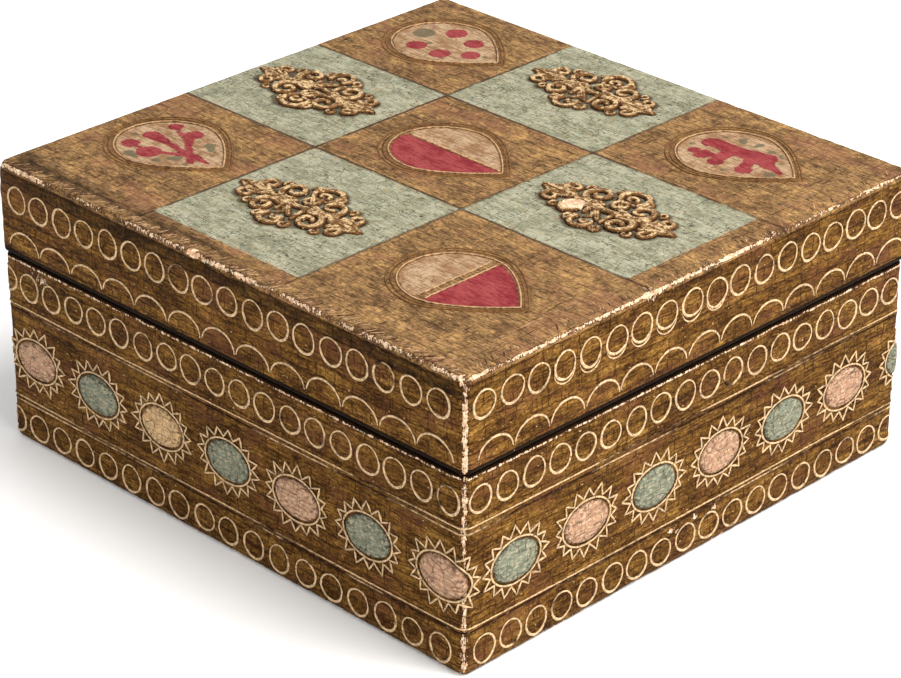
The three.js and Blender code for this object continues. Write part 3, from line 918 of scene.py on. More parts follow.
def inside_material(colour):
    n = Nodes("stained_wood")
    streak = n.noise(0.08, 1.3, 5.0, 91)
    tone = n.mix(n.step(streak, 0.35, 0.7), tuple(c * 0.55 for c in colour), tuple(colour))
    pores = n.patches(0.5, 6.0, 3.0, 92, 0.6, 0.7)
    tone = n.tint(tone, pores, 0.5, tuple(c * 0.25 for c in colour))
    height = n.minus(n.times(streak, 0.6), n.times(pores, 0.6))
    return n.finish(tone, n.plus(n.times(streak, 0.2), 0.55), height, 0.4, 0.0003)


# Shells

CHIPS = (
    # place, reach along, depth, how bare
    ((-7.5, -72.6, LID_TOP), 1.7, 0.5, 0.9),
    ((-4.4, -73.0, LID_TOP - 0.9), 2.6, 0.9, 0.1),
    ((76.0, -73.0, LID_TOP), 3.0, 0.8, 0.5),
    ((-34.0, -73.0, LID_TOP), 2.0, 0.4, 0.35),
    ((-60.0, -73.0, LID_TOP), 1.8, 0.3, 0.3),
    ((8.0, -73.0, LID_TOP), 1.8, 0.3, 0.36),
    ((76.0, -16.0, LID_TOP - 0.6), 2.2, 0.4, 0.5),
    ((76.0, 2.0, LID_TOP), 1.8, 0.3, 0.5),
    ((76.0, 24.0, LID_TOP), 2.2, 0.4, 0.4),
    ((76.0, 73.0, LID_TOP), 3.0, 0.7, 0.4),
    ((-76.0, -73.0, LID_TOP), 2.4, 0.5, 0.3),
)


# Bare patches low on the right side: place along, height, size
LOW_PATCHES = ((-7, 8.9, 1.7), (-4.6, 7.6, 1.2), (1, 9.5, 1.7), (7.6, 9.2, 1.4))
RIGHT_ZONE = 70
FRONT_ZONE = -60
EDGE_BAND = 3.4
MOST_SWELL = 0.03


def post_wear(points, post):
    """How bare the upright edges are, most of all the front one."""
    front = (points[:, 0] > 0) & (points[:, 1] < 0)
    share = 0.75 + 0.5 * noise(points, 9, 20, 2)
    return hump(post, 0.9, 0.5) * np.where(front, 0.58, 0.42) * share


def nicks(rub, lumps, deepest):
    """How deep the rubbed places are nicked."""
    return np.where(rub > 0.2, smooth_step(0.56, 0.8, lumps) * deepest, 0)


def swelling(points, size, reach, seed):
    """How far old wood has moved from flat, in long waves with small ones on them."""
    return (noise(points, size, seed, 2) - 0.5) * reach + (noise(points, 5, seed + 1) - 0.5) * 0.05


def wear_edges(points, sizes, low_edge):
    """Chips and rubs along the edges: how deep they cut, and how bare each point is."""
    x, y, z = points.T
    gap_x, gap_y = LID_WIDTH / 2 - np.abs(x), LID_DEPTH / 2 - np.abs(y)
    side = np.minimum(gap_x, gap_y)
    top = np.hypot(np.maximum(LID_TOP - z, 0), np.maximum(side, 0))
    post = np.hypot(gap_x, gap_y)
    long_side = gap_y < gap_x
    reach = np.where(long_side, np.where(y < 0, 0.56, 0.4), np.where(x > 0, 0.64, 0.4))
    reach = reach * (0.6 + 0.7 * noise(points, 9, 19, 2))
    width = np.where(long_side, 0.75, 0.42)
    rub = hump(top, 0.55, width) * reach * (z > LID_TOP - 5)
    rub = np.maximum(rub, post_wear(points, post))
    low = hump(z, low_edge + 1.2, 0.5) * 0.2
    rub = np.maximum(rub, np.where(side < 1.5, low, 0)) * sizes.wear
    depth = nicks(rub, noise(points * np.array([1, 1, 1.6]), 2.6, 11, 2), 0.55 * rub)
    for place, reach, cut, bare in CHIPS:
        away = np.linalg.norm((points - np.array(place)) * np.array([1, 1, 1.3]), axis=1) / reach
        away = away * (0.75 + 0.5 * noise(points, 1.6, 12))
        dent = np.clip(1 - away**2, 0, 1)
        depth = np.maximum(depth, cut * dent)
        rub = np.maximum(rub, bare * (dent > 0.02) * sizes.wear)
    return depth, rub


LID_PITCH = 0.8
BASE_PITCH = 1.0
CORNER_STEPS = 3
# Insets of the rings that carry a level face in towards its middle
LEVEL_INSETS = (60, 30)


def perimeter(outline, pitch):
    """Places round an outline: even on the straights, with 2 * CORNER_STEPS spans to a corner."""
    spans = np.rint(outline.lengths / pitch).astype(int)
    places = []
    for side, count in enumerate(spans):
        start, length = outline.starts[side], outline.lengths[side]
        places.append(start + np.linspace(0, length, count + 1))
        turns = np.arange(1, 2 * CORNER_STEPS) / (2 * CORNER_STEPS)
        places.append(start + length + outline.quarter * turns)
    return np.concatenate(places), spans


def rounded(inset, z, radius, start, steps):
    angle = start + np.linspace(0, math.pi / 2, steps)
    return list(zip(inset - radius * np.cos(angle), z + radius * np.sin(angle)))


def shell(outline, stations, places):
    rings = [outline.ring(places, inset, z) for inset, z in stations]
    count = len(places)
    faces = [ring_faces(i * count, (i + 1) * count, count) for i in range(len(rings) - 1)]
    return np.concatenate(rings), np.concatenate(faces)


def lid_top_grid(outline, spans, inset, first, offset):
    """Points inside the last ring of the lid, in rows, and the faces that join them to it."""
    m = CORNER_STEPS
    radius = outline.radius - inset
    extra = radius * np.sin(np.arange(1, m + 1) * math.pi / 4 / m)
    lines = []
    for axis in (0, 1):
        straight = np.linspace(-outline.inner[axis], outline.inner[axis], spans[axis] + 1)
        lines.append(np.concatenate([straight[0] - extra[::-1], straight, straight[-1] + extra]))
    columns, rows = len(lines[0]), len(lines[1])
    index = np.full((rows, columns), -1)
    edge = [(c, 0) for c in range(m, columns)] + [(columns - 1, r) for r in range(1, rows)]
    edge += [(c, rows - 1) for c in range(columns - 2, -1, -1)] + [(0, r) for r in range(rows - 2, -1, -1)]
    edge += [(c, 0) for c in range(1, m)]
    for k, (c, r) in enumerate(edge):
        index[r, c] = first + k
    index[1:-1, 1:-1] = offset + np.arange((rows - 2) * (columns - 2)).reshape(rows - 2, columns - 2)
    x, y = np.meshgrid(lines[0][1:-1], lines[1][1:-1])
    points = np.stack([x.ravel(), y.ravel(), np.full(x.size, LID_TOP)], -1)
    faces = np.stack([index[:-1, :-1], index[:-1, 1:], index[1:, 1:], index[1:, :-1]], -1).reshape(-1, 4)
    return points, faces


class TRINKETBOX_OT_lid_shell(BoxOperator, bpy.types.Operator):
    """Make the lid: hollow, with worn edges and the chequer and shields painted on its top"""

    bl_idname = "trinket_box.lid_shell"
    bl_label = "Lid"

    def execute(self, context):
        sizes, tones = context.scene.trinket_box_sizes, context.scene.trinket_box_colours
        places, spans = perimeter(LID_OUTLINE, LID_PITCH)
        count = len(places)
        ceiling = LID_TOP - LID_THICKNESS
        stations = [(inset, ceiling) for inset in (*LEVEL_INSETS, LID_WALL)] + [(LID_WALL, LID_BOTTOM)]
        inner_count = len(stations)
        stations += rounded(LID_EDGE_RADIUS, LID_BOTTOM + LID_EDGE_RADIUS, LID_EDGE_RADIUS, -math.pi / 2, 4)
        low, high = LID_BOTTOM + LID_EDGE_RADIUS, LID_TOP - LID_TOP_RADIUS
        stations += [(0, LID_BOTTOM + z) for z in (1.2, 1.44, 1.6)]
        stations += [(0, z) for z in np.arange(low + 1.6, high - 1, 1.4)]
        stations += rounded(LID_TOP_RADIUS, LID_TOP - LID_TOP_RADIUS, LID_TOP_RADIUS, 0, 7)
        points, faces = shell(LID_OUTLINE, stations, places)
        first = (len(stations) - 1) * count
        middle = len(points)
        points = np.vstack([points, [[0, 0, ceiling]]])
        grid, grid_faces = lid_top_grid(LID_OUTLINE, spans, LID_TOP_RADIUS, first, len(points))
        points = np.vstack([points, grid])
        all_faces = fan_faces(0, count, middle, -1) + faces.tolist() + grid_faces.tolist()
        outer = np.ones(len(points), bool)
        outer[: inner_count * count] = False
        outer[middle] = False
        depth, rub = wear_edges(points, sizes, LID_BOTTOM)
        depth[~outer], rub[~outer] = 0, 0
        swell = swelling(points, 34, 0.12, 14)
        inward = self.inward(points)
        points[outer] += (inward * (depth + np.maximum(swell, -MOST_SWELL))[:, None])[outer]
        level = (points[:, 2] > LID_TOP - 1.2) & outer
        points[first + count + 1:, 2] -= np.abs(swell[first + count + 1:]) * 0.6
        values = {key: np.clip(value, -FAR, FAR) for key, value in painting(points[:, :2]).items()}
        values.update(level=level.astype(float), wear=rub, grime=self.grime(points))
        walls, top = gilding_tones(tones), level_tones(tones)
        painted = gilded_material("painted_gilding", palette_of(tones), walls, top)
        materials = [painted, inside_material(tones.inside)]
        made = add_object("lid_shell", points, all_faces, materials, values, ["lid"])
        inside = np.zeros(len(all_faces), np.int32)
        inside[: count * inner_count] = 1
        made.data.polygons.foreach_set("material_index", inside)
        return {"FINISHED"}

    def inward(self, points):
        """Directions in from the faces that a point is near, no longer than 1."""
        x, y, z = points.T
        across = -np.sign(x) * (np.abs(x) > LID_WIDTH / 2 - EDGE_BAND)
        along = -np.sign(y) * (np.abs(y) > LID_DEPTH / 2 - EDGE_BAND)
        direction = np.stack([across, along, -1.0 * (z > LID_TOP - EDGE_BAND)], -1)
        return direction / np.maximum(np.linalg.norm(direction, axis=1, keepdims=True), 1)

    def grime(self, points):
        """Painted shade and darkening: painted shade in the seam and in a patchy strip under the chipped top
        edge, and a darker band along the top's border, most of all in front.
        """
        x, y, z = points.T
        seam = np.exp(-np.clip(z - LID_BOTTOM, 0, 99) / 1.2) * 0.6 + (z < LID_BOTTOM + 1.45)
        gap = np.minimum(LID_WIDTH / 2 - np.abs(x), LID_DEPTH / 2 - np.abs(y))
        from_front = y + LID_DEPTH / 2
        top = z > LID_TOP - 1
        border = np.where(top, hump(gap, 4.5, 2.4) * 0.32, 0)
        under = np.where((z > LID_TOP - 5) & (z < LID_TOP - 1.2), np.where(from_front < 1, 0.72, 0.5), 0)
        dull_front = np.where((from_front < 9) & (x < 10) & top, 0.3 - x / 400, 0)
        return np.maximum(np.maximum(seam, border + dull_front), under)


class TRINKETBOX_OT_base_shell(BoxOperator, bpy.types.Operator):
    """Make the base: hollow, with its lip, worn corners and a plain stained inside"""

    bl_idname = "trinket_box.base_shell"
    bl_label = "Base"

    def execute(self, context):
        sizes, tones = context.scene.trinket_box_sizes, context.scene.trinket_box_colours
        places, _ = perimeter(BASE_OUTLINE, BASE_PITCH)
        count = len(places)
        stations = [(inset, 0) for inset in LEVEL_INSETS]
        under_count = len(stations)
        stations += rounded(FOOT_RADIUS, FOOT_RADIUS, FOOT_RADIUS, -math.pi / 2, 6)
        stations += [(0, z) for z in np.arange(FOOT_RADIUS + 1.2, BASE_RIM - RIM_RADIUS - 0.8, 1.25)]
        stations += [(0, BASE_RIM - 1.35), (0, BASE_RIM - 1.0)]
        stations += rounded(RIM_RADIUS, BASE_RIM - RIM_RADIUS, RIM_RADIUS, 0, 4)
        outer_count = len(stations)
        stations += [
            (LIP_INSET, BASE_RIM), (LIP_INSET, LIP_TOP - LIP_CHAMFER), (LIP_INSET + LIP_CHAMFER, LIP_TOP),
            (BASE_WALL - LIP_CHAMFER, LIP_TOP), (BASE_WALL, LIP_TOP - LIP_CHAMFER),
        ]
        stations += [(inset, BASE_FLOOR) for inset in (BASE_WALL, *reversed(LEVEL_INSETS))]
        points, faces = shell(BASE_OUTLINE, stations, places)
        below, floor = len(points), len(points) + 1
        points = np.vstack([points, [[0, 0, 0], [0, 0, BASE_FLOOR]]])
        last = (len(stations) - 1) * count
        all_faces = fan_faces(0, count, below, -1) + faces.tolist() + fan_faces(last, count, floor, 1)
        rub = self.rub(points) * sizes.wear
        rub = np.maximum(rub, self.patches(points))
        depth = nicks(rub, noise(points, 2.8, 16, 2), 0.6 * np.minimum(rub, 0.6))
        move = depth + np.maximum(swelling(points, 30, 0.1, 17), -MOST_SWELL)
        _, normal = BASE_OUTLINE.frame(places)
        for i in range(under_count, outer_count):
            span = slice(i * count, (i + 1) * count)
            points[span, :2] -= normal * move[span][:, None]
        rub[outer_count * count:] = 0
        gilded = gilded_material("gilding", palette_of(tones), gilding_tones(tones, 0.9))
        materials = [gilded, inside_material(tones.inside)]
        values = {"wear": rub, "grime": self.grime(points)}
        made = add_object("base_shell", points, all_faces, materials, values, ["box_base"])
        inside = np.ones(len(all_faces), np.int32)
        inside[(under_count + 1) * count: (outer_count + 1) * count] = 0
        made.data.polygons.foreach_set("material_index", inside)
        return {"FINISHED"}

    def rub(self, points):
        x, y, z = points.T
        post = np.hypot(BASE_WIDTH / 2 - np.abs(x), BASE_DEPTH / 2 - np.abs(y))
        rim = hump(z, BASE_RIM - RIM_RADIUS - 0.2, 0.45) * 0.62
        return np.maximum(np.maximum(post_wear(points, post), rim), hump(z, 0.4, 1.0) * 0.5)

    def patches(self, points):
        """Bare patches of their own: at the front's left end, low on the right, and on the front post."""
        x, y, z = points.T
        patch = hump(x, -62, 8) * hump(z, 45.5, 3.5) * (y < FRONT_ZONE) * 0.5
        for at_y, at_z, size in LOW_PATCHES:
            patch = np.maximum(patch, hump(y, at_y, size) * hump(z, at_z, 1.1) * (x > RIGHT_ZONE) * 0.85)
        return np.maximum(patch, hump(x, 74, 2.4) * hump(y, -71, 2.4) * 0.35)

    def grime(self, points):
        """Painted shade in the seam under the lid, fading below it; darker towards the foot and at the
        front's left end.
        """
        x, y, z = points.T
        seam = np.where(z > BASE_RIM - 0.5, 1.6, 0.25 * np.exp(-np.clip(BASE_RIM - z, 0, 99) / 2.5))
        foot = np.exp(-z / 3.0) * 0.75
        corner = hump(x, -BASE_WIDTH / 2, 7) * (y < FRONT_ZONE) * 0.45
        return np.maximum(np.maximum(seam, foot), corner)


# Rows of raised lines


RING_POINTS = 30
# Steadiness of a ring's gilding, and how often each is drawn
RING_FADES = (0.95, 0.8, 0.6, 0.4)
RING_CHANCES = (0.45, 0.3, 0.17, 0.08)
DOUBLED_RINGS = (3, 9)
DOUBLED_RADIUS = 3.3


def full_turn(count):
    return np.linspace(0, 2 * math.pi, count, endpoint=False)


def ring_path(rng, u, z, diameter):
    """A hand drawn ring, and how heavy its line is at each point."""
    angle = full_turn(RING_POINTS) + rng.uniform(0, 6)
    lean = rng.uniform(-0.25, 0.25)
    width = diameter / 2 * rng.uniform(0.94, 1.03)
    rise = diameter / 2 * rng.uniform(0.96, 1.07)
    bend = 1 + 0.02 * np.cos(3 * angle + rng.uniform(0, 6))
    du = width * np.cos(angle) * bend
    dv = rise * np.sin(angle) * bend
    path = np.stack([u + du + lean * 0.1 * dv, z + dv], -1)
    weight = 1 + 0.28 * np.cos(angle - rng.uniform(3.4, 5.6))
    return path, weight


def ring_row(strokes, rng, outline, runs, heights, sizes, doubled=None):
    """A row of rings round the box. Doubled gives the first and last with a second line, on the right."""
    diameter = sizes.ring_diameter / MM - 0.5
    width = sizes.ring_width / MM
    relief = sizes.line_relief / MM
    for side, (start, end, count) in enumerate(runs):
        for i, u in enumerate(np.linspace(start, end, count)):
            s = outline.walk(side, u + rng.uniform(-0.2, 0.2))
            z = heights[side] + rng.uniform(-0.22, 0.22)
            path, weight = ring_path(rng, s, z, diameter)
            fade = rng.choice(RING_FADES, p=RING_CHANCES)
            angle = full_turn(RING_POINTS)
            fade = fade + 0.22 * np.cos(angle + rng.uniform(0, 6))
            fade = fade + 0.14 * np.cos(3 * angle + rng.uniform(0, 6))
            strokes.add(path, width * weight, relief, True, fade)
            if doubled and side == 1 and doubled[0] <= i <= doubled[1]:
                angle = np.linspace(1.06, 1.94, 12) * math.pi
                x = s + DOUBLED_RADIUS * np.cos(angle)
                y = z - rng.uniform(0.7, 1.3) + DOUBLED_RADIUS * np.sin(angle)
                thin = np.sin(np.linspace(0, math.pi, 12)) * 0.6 + 0.2
                strokes.add(np.stack([x, y], -1), width * thin, relief * thin, False, rng.uniform(0.45, 0.9))


class TRINKETBOX_OT_ring_rows(BoxOperator, bpy.types.Operator):
    """Lay the rows of small raised rings round the lid and the base"""

    bl_idname = "trinket_box.ring_rows"
    bl_label = "Ring rows"

    def execute(self, context):
        sizes = context.scene.trinket_box_sizes
        gold = line_material("line_gold", tuple(context.scene.trinket_box_colours.line_gold), LINE_FOOT)
        rng = np.random.default_rng(5)
        lid = Strokes(wall_surface(LID_OUTLINE))
        ring_row(lid, rng, LID_OUTLINE, LID_RINGS, LID_RING_HEIGHTS, sizes, DOUBLED_RINGS)
        lid.finish("lid_rings", [gold], "gilded_lid")
        base = Strokes(wall_surface(BASE_OUTLINE))
        ring_row(base, rng, BASE_OUTLINE, UPPER_RINGS, (UPPER_RING_HEIGHT,) * 4, sizes)
        ring_row(base, rng, BASE_OUTLINE, LOWER_RINGS, (LOWER_RING_HEIGHT,) * 4, sizes)
        base.finish("base_rings", [gold], "gilded_sides")
        return {"FINISHED"}


ARCH_POINTS = 20
ARCH_RISE = 5.2


class TRINKETBOX_OT_arches(BoxOperator, bpy.types.Operator):
    """Lay the row of raised arches along the lid's lower edge"""

    bl_idname = "trinket_box.arches"
    bl_label = "Arches"

    def execute(self, context):
        sizes = context.scene.trinket_box_sizes
        gold = line_material("arch_gold", tuple(context.scene.trinket_box_colours.line_gold), LINE_FOOT)
        rng = np.random.default_rng(7)
        strokes = Strokes(wall_surface(LID_OUTLINE))
        angle = np.linspace(0.06, 0.96, ARCH_POINTS) * math.pi
        thin = 0.45 + 0.6 * np.sin(np.linspace(0.1, math.pi - 0.1, ARCH_POINTS)) ** 0.7
        for side, (start, end, count) in enumerate(ARCHES):
            half = (end - start) / (count - 1) / 2 * 0.96
            for u in np.linspace(start, end, count):
                rise = ARCH_RISE * rng.uniform(0.93, 1.06)
                lean = rng.uniform(-0.3, 0.3)
                s = LID_OUTLINE.walk(side, u) - half * np.cos(angle) + lean * np.sin(angle)
                path = np.stack([s, ARCH_HEIGHT + rise * np.sin(angle) ** 0.85], -1)
                width, relief = sizes.ring_width / MM * thin, sizes.line_relief / MM * thin
                strokes.add(path, width, relief, False, rng.uniform(0.6, 1))
        strokes.finish("lid_arches", [gold], "gilded_lid")
        return {"FINISHED"}


MOULDING_POINTS = 520
# How far above the moulding's middle, width, relief, fade; the second, low and nearly all dark, is a painted
# shadow under the first
MOULDING_LINES = ((0.45, 0.56, 0.24, 0.5), (-0.6, 0.6, 0.12, 0.05))


class TRINKETBOX_OT_mouldings(BoxOperator, bpy.types.Operator):
    """Lay the thin mouldings round the base, above and below the sunbursts"""

    bl_idname = "trinket_box.mouldings"
    bl_label = "Mouldings"

    def execute(self, context):
        gold = line_material("moulding_gold", MOULDING_GOLD, MOULDING_FOOT)
        rng = np.random.default_rng(9)
        strokes = Strokes(wall_surface(BASE_OUTLINE))
        s = np.linspace(0, BASE_OUTLINE.total, MOULDING_POINTS, endpoint=False)
        for z in MOULDINGS:
            for shift, width, relief, fade in MOULDING_LINES:
                drift = wander(rng, MOULDING_POINTS, 26, 0.22)
                drift += (drift[0] - drift[-1]) * np.linspace(0, 1, MOULDING_POINTS)
                worn = np.clip(fade + wander(rng, MOULDING_POINTS, 13, 0.5), 0, 1)
                strokes.add(np.stack([s, z + shift + drift], -1), width, relief, True, worn)
        strokes.finish("mouldings", [gold], "gilded_sides")
        return {"FINISHED"}


# Sunbursts


SUN_CORNERS = 32
SUN_TIP = (10.1, 8.5)
SUN_NOTCH = (8.0, 6.0)
JEWEL_RELIEF = 0.75
JEWEL_RINGS, JEWEL_SPOKES = 8, 30


def jewel(outline, s, z, length, breadth, height, rng):
    """A low dome with an oval foot. Returns points, faces and how near each point is to the rim."""
    rings, spokes = JEWEL_RINGS, JEWEL_SPOKES
    shares = np.linspace(0.12, 1.0, rings)
    angle = full_turn(spokes)
    bend = 1 + 0.015 * np.cos(2 * angle + rng.uniform(0, 6)) + 0.015 * np.cos(5 * angle + rng.uniform(0, 6))
    points, reach = [outline.place(np.array([s]), np.array([z]), np.array([height]))], [np.zeros(1)]
    for share in shares:
        u = s + length / 2 * share * np.cos(angle) * bend
        v = z + breadth / 2 * share * np.sin(angle) * bend
        out = height * (1 - share**5) ** 0.5 - 0.12 * (share > 0.99)
        points.append(outline.place(u, v, np.full(spokes, out)))
        reach.append(np.full(spokes, share))
    points.append(outline.place(np.array([s]), np.array([z]), np.array([-0.3])))
    reach.append(np.ones(1))
    faces = fan_faces(1, spokes, 0, 1)
    for i in range(rings - 1):
        faces += ring_faces(1 + (i + 1) * spokes, 1 + i * spokes, spokes).tolist()
    faces += fan_faces(1 + (rings - 1) * spokes, spokes, 1 + rings * spokes, -1)
    return np.concatenate(points), faces, np.concatenate(reach)


class TRINKETBOX_OT_sunbursts(BoxOperator, bpy.types.Operator):
    """Lay the sunbursts round the base: zigzag rays, an oval line and a painted jewel each"""

    bl_idname = "trinket_box.sunbursts"
    bl_label = "Sunbursts"

    def execute(self, context):
        sizes, tones = context.scene.trinket_box_sizes, context.scene.trinket_box_colours
        rng = np.random.default_rng(13)
        length, breadth = sizes.jewel_length / MM, sizes.jewel_breadth / MM
        rays = Strokes(wall_surface(BASE_OUTLINE))
        # Points, faces, nearness to the rim, and how many points so far
        jewels = {kind: [[], [], [], 0] for kind in ("pink", "green", "cream")}
        runs = enumerate(SUN_RUNS)
        suns = [(side, first + i * pitch) for side, (first, pitch, count) in runs for i in range(count)]
        for place, (side, u) in enumerate(suns):
            s = BASE_OUTLINE.walk(side, u)
            z = SUN_HEIGHT + rng.uniform(-0.3, 0.3)
            self.add_rays(rays, rng, s, z, length, breadth)
            points, faces, reach = jewel(BASE_OUTLINE, s, z, length, breadth, JEWEL_RELIEF, rng)
            held = jewels["cream" if place == 2 else ("pink", "green")[place % 2]]
            held[0].append(points)
            held[1] += [[k + held[3] for k in face] for face in faces]
            held[2].append(reach)
            held[3] += len(points)
        gold = line_material("ray_gold", tuple(tones.line_gold), RAY_FOOT_BROWN)
        rays.finish("sun_rays", [gold], "gilded_sides")
        for kind, (points, faces, reach, _) in jewels.items():
            light = tuple(getattr(tones, "jewel_" + kind))
            paleness = 0.35 if kind == "green" else 0.5
            material = jewel_material("jewel_" + kind, light, tuple(c * 0.7 for c in light), paleness)
            values = {"reach": np.concatenate(reach)}
            add_object("jewels_" + kind, np.concatenate(points), faces, [material], values)
        return {"FINISHED"}

    def add_rays(self, rays, rng, s, z, length, breadth):
        """The zigzag of one sun, and the oval line inside it."""
        turns = (np.arange(SUN_CORNERS) / SUN_CORNERS + rng.uniform(-0.01, 0.01)) * 2 * math.pi
        tips = np.arange(SUN_CORNERS) % 2 == 0
        jitter = rng.uniform(0.94, 1.06, SUN_CORNERS)
        rx, ry = (np.where(tips, tip * jitter, notch) for tip, notch in zip(SUN_TIP, SUN_NOTCH))
        corners = np.stack([s + rx * np.cos(turns), z + ry * np.sin(turns)], -1)
        path = np.stack([corners, corners * 0.5 + np.roll(corners, -1, 0) * 0.5], 1).reshape(-1, 2)
        rays.add(path, 0.74, 0.34, True, rng.uniform(0.4, 0.95, SUN_CORNERS).repeat(2))
        angle = full_turn(40)
        half_length, half_breadth = length / 2 + 0.45, breadth / 2 + 0.5
        oval = np.stack([s + half_length * np.cos(angle), z + half_breadth * np.sin(angle)], -1)
        rays.add(oval, 0.66, 0.4, True, rng.uniform(0.55, 0.95))


# Lid ornament


def evenly(path, pitch, closed=True):
    """The same line with points at an even pitch."""
    ends = np.vstack([path, path[:1]]) if closed else np.asarray(path, float)
    run = np.concatenate([[0], np.cumsum(np.linalg.norm(np.diff(ends, axis=0), axis=1))])
    count = max(int(run[-1] / pitch), 4)
    at = np.linspace(0, run[-1], count, endpoint=not closed)
    return np.stack([np.interp(at, run, ends[:, k]) for k in (0, 1)], -1)


SHIELD_PITCH = 0.9
# Distance out from the field, width, relief, fade: one bright line and two dull ones
SHIELD_LINES = ((0.6, 0.6, 0.26, 0.62), (1.9, 0.45, 0.14, 0.5), (2.9, 0.55, 0.18, 0.55))


class TRINKETBOX_OT_shield_lines(BoxOperator, bpy.types.Operator):
    """Lay the raised outlines and the dividing bands of the shields"""

    bl_idname = "trinket_box.shield_lines"
    bl_label = "Shield lines"

    def execute(self, context):
        rng = np.random.default_rng(17)
        gold = line_material("shield_gold", SHIELD_GOLD, SHIELD_FOOT)
        dull = line_material("shield_dull", SHIELD_DULL, SHIELD_DULL_FOOT)
        near, far = Strokes(on_lid_top), Strokes(on_lid_top)
        for middle in SHIELDS.values():
            for strokes, (reach, width, relief, steady) in zip((near, far, far), SHIELD_LINES):
                outline = shield_outline(FIELD_LENGTH + 2 * reach, FIELD_BREADTH + 2 * reach)
                path = evenly(outline, SHIELD_PITCH)
                fade = steady + 0.3 * wander(rng, len(path), 9, 1)
                strokes.add(path + np.array(middle), width, relief, True, np.clip(fade, 0, 1))
        x, y = SHIELDS["front_right"]
        for shift in (-3.4, -1.3):
            self.band(near, [[x + shift, y - 11.2], [x + shift, y + 10.8]], 0.55, 0.55)
        for v in np.arange(-10.4, 10.6, 1.15):
            stitch = [[x - 3.2, y + v], [x - 2.4, y + v + 0.1], [x - 1.5, y + v + 0.3]]
            near.add(stitch, 0.4, 0.12, False, 0.35)
        x, y = SHIELDS["centre"]
        self.band(near, [[x - 14.6, y + 0.9], [x + 14.8, y + 0.5]], 0.9, 0.7)
        near.finish("shield_rims", [gold], "gilded_lid")
        far.finish("shield_outer_lines", [dull], "gilded_lid")
        return {"FINISHED"}

    def band(self, strokes, ends, width, fade):
        strokes.add(evenly(ends, SHIELD_PITCH, False), width, 0.25, False, fade)


# Middle, first and last radius, first and last turn, first and last half width, height
VOLUTES = (
    (-6.0, 4.2, 3.9, 1.0, 0.86, -0.42, 0.8, 0.55, 1.5),
    (6.9, 3.9, 3.9, 1.0, 0.64, 1.9, 0.8, 0.55, 1.5),
    (-6.8, -4.8, 3.6, 0.9, 0.14, 1.4, 0.8, 0.55, 1.5),
    (7.1, -4.4, 3.8, 1.0, 0.36, -0.9, 0.85, 0.55, 1.6),
    (-13.1, 3.4, 2.6, 0.7, 0.7, -0.25, 0.7, 0.45, 1.3),
    (-14.2, -3.6, 2.3, 0.7, 0.3, 1.2, 0.7, 0.45, 1.2),
    (14.4, 3.6, 2.5, 0.7, 0.6, 1.6, 0.7, 0.45, 1.3),
    (14.3, -3.9, 2.5, 0.7, 0.42, -0.6, 0.7, 0.45, 1.2),
    (0.9, 7.6, 3.8, 3.3, -0.08, 0.6, 0.8, 0.6, 1.5),
    (0.4, 7.0, 1.7, 0.6, 0.0, 0.75, 0.65, 0.45, 1.2),
    (-0.3, -8.6, 3.0, 2.4, 0.42, 1.1, 0.75, 0.6, 1.3),
    (0.4, -8.0, 1.1, 0.4, 0.5, 1.2, 0.55, 0.4, 1.1),
    (0.6, 3.1, 1.7, 1.7, 0, 1, 0.5, 0.5, 1.4),
    (-2.6, 8.6, 1.5, 0.5, 0.55, -0.3, 0.45, 0.35, 1.0),
    (4.6, 8.2, 1.5, 0.5, 0.9, 1.8, 0.45, 0.35, 1.0),
    (-3.8, -8.9, 1.5, 0.5, 0.3, 1.1, 0.45, 0.35, 1.0),
    (3.9, -9.2, 1.5, 0.5, 0.2, -0.7, 0.45, 0.35, 1.0),
    (-10.4, 6.4, 1.3, 0.5, 0.7, -0.1, 0.4, 0.3, 0.9),
    (11.2, 6.2, 1.3, 0.5, 0.8, 1.6, 0.4, 0.3, 0.9),
    (-11.2, -6.2, 1.3, 0.5, 0.3, 1.1, 0.4, 0.3, 0.9),
    (11.4, -6.6, 1.3, 0.5, 0.2, -0.6, 0.4, 0.3, 0.9),
)
# Points (x, y, half width), and height
STEMS = (
    ([[-18, 0.4, 0.5], [-12, 0.1, 0.6], [-6, -0.4, 0.65], [-2, -1.6, 0.65], [1.6, -5.2, 0.55]], 1.3),
    ([[18, -0.2, 0.5], [12, 0.2, 0.6], [6.4, 0.2, 0.65], [2.4, 1.4, 0.65], [-1.2, 5.0, 0.55]], 1.3),
    ([[-4.2, 0.2, 0.6], [0, -1.2, 0.65], [4.2, -0.4, 0.6]], 1.5),
    ([[-2.2, 1.0, 0.5], [-3.4, -1.6, 0.5], [-3.0, -4.4, 0.45]], 1.1),
    ([[2.6, -0.6, 0.5], [3.0, -2.8, 0.5], [3.4, -6.0, 0.45]], 1.1),
    ([[-9.6, 0.8, 0.4], [-8.6, -1.2, 0.4], [-10.2, -2.4, 0.3]], 0.9),
    ([[9.8, 0.6, 0.4], [10.4, 2.2, 0.4], [9.4, 0.2, 0.3]], 0.9),
    ([[-1.8, -3.2, 0.4], [-0.4, -4.6, 0.4], [-1.4, -6.0, 0.3]], 0.9),
    ([[1.2, 5.6, 0.4], [3.0, 5.4, 0.4], [4.0, 6.6, 0.3]], 0.9),
)
# Rise, bow and half width of the leaves at each end
LEAF_FAN = ((0.6, 0.3, 0.62), (1.5, 1.6, 0.5), (2.2, 3.0, 0.42), (-0.8, -1.3, 0.5), (-1.6, -2.8, 0.42))
SPIRAL_POINTS = 18


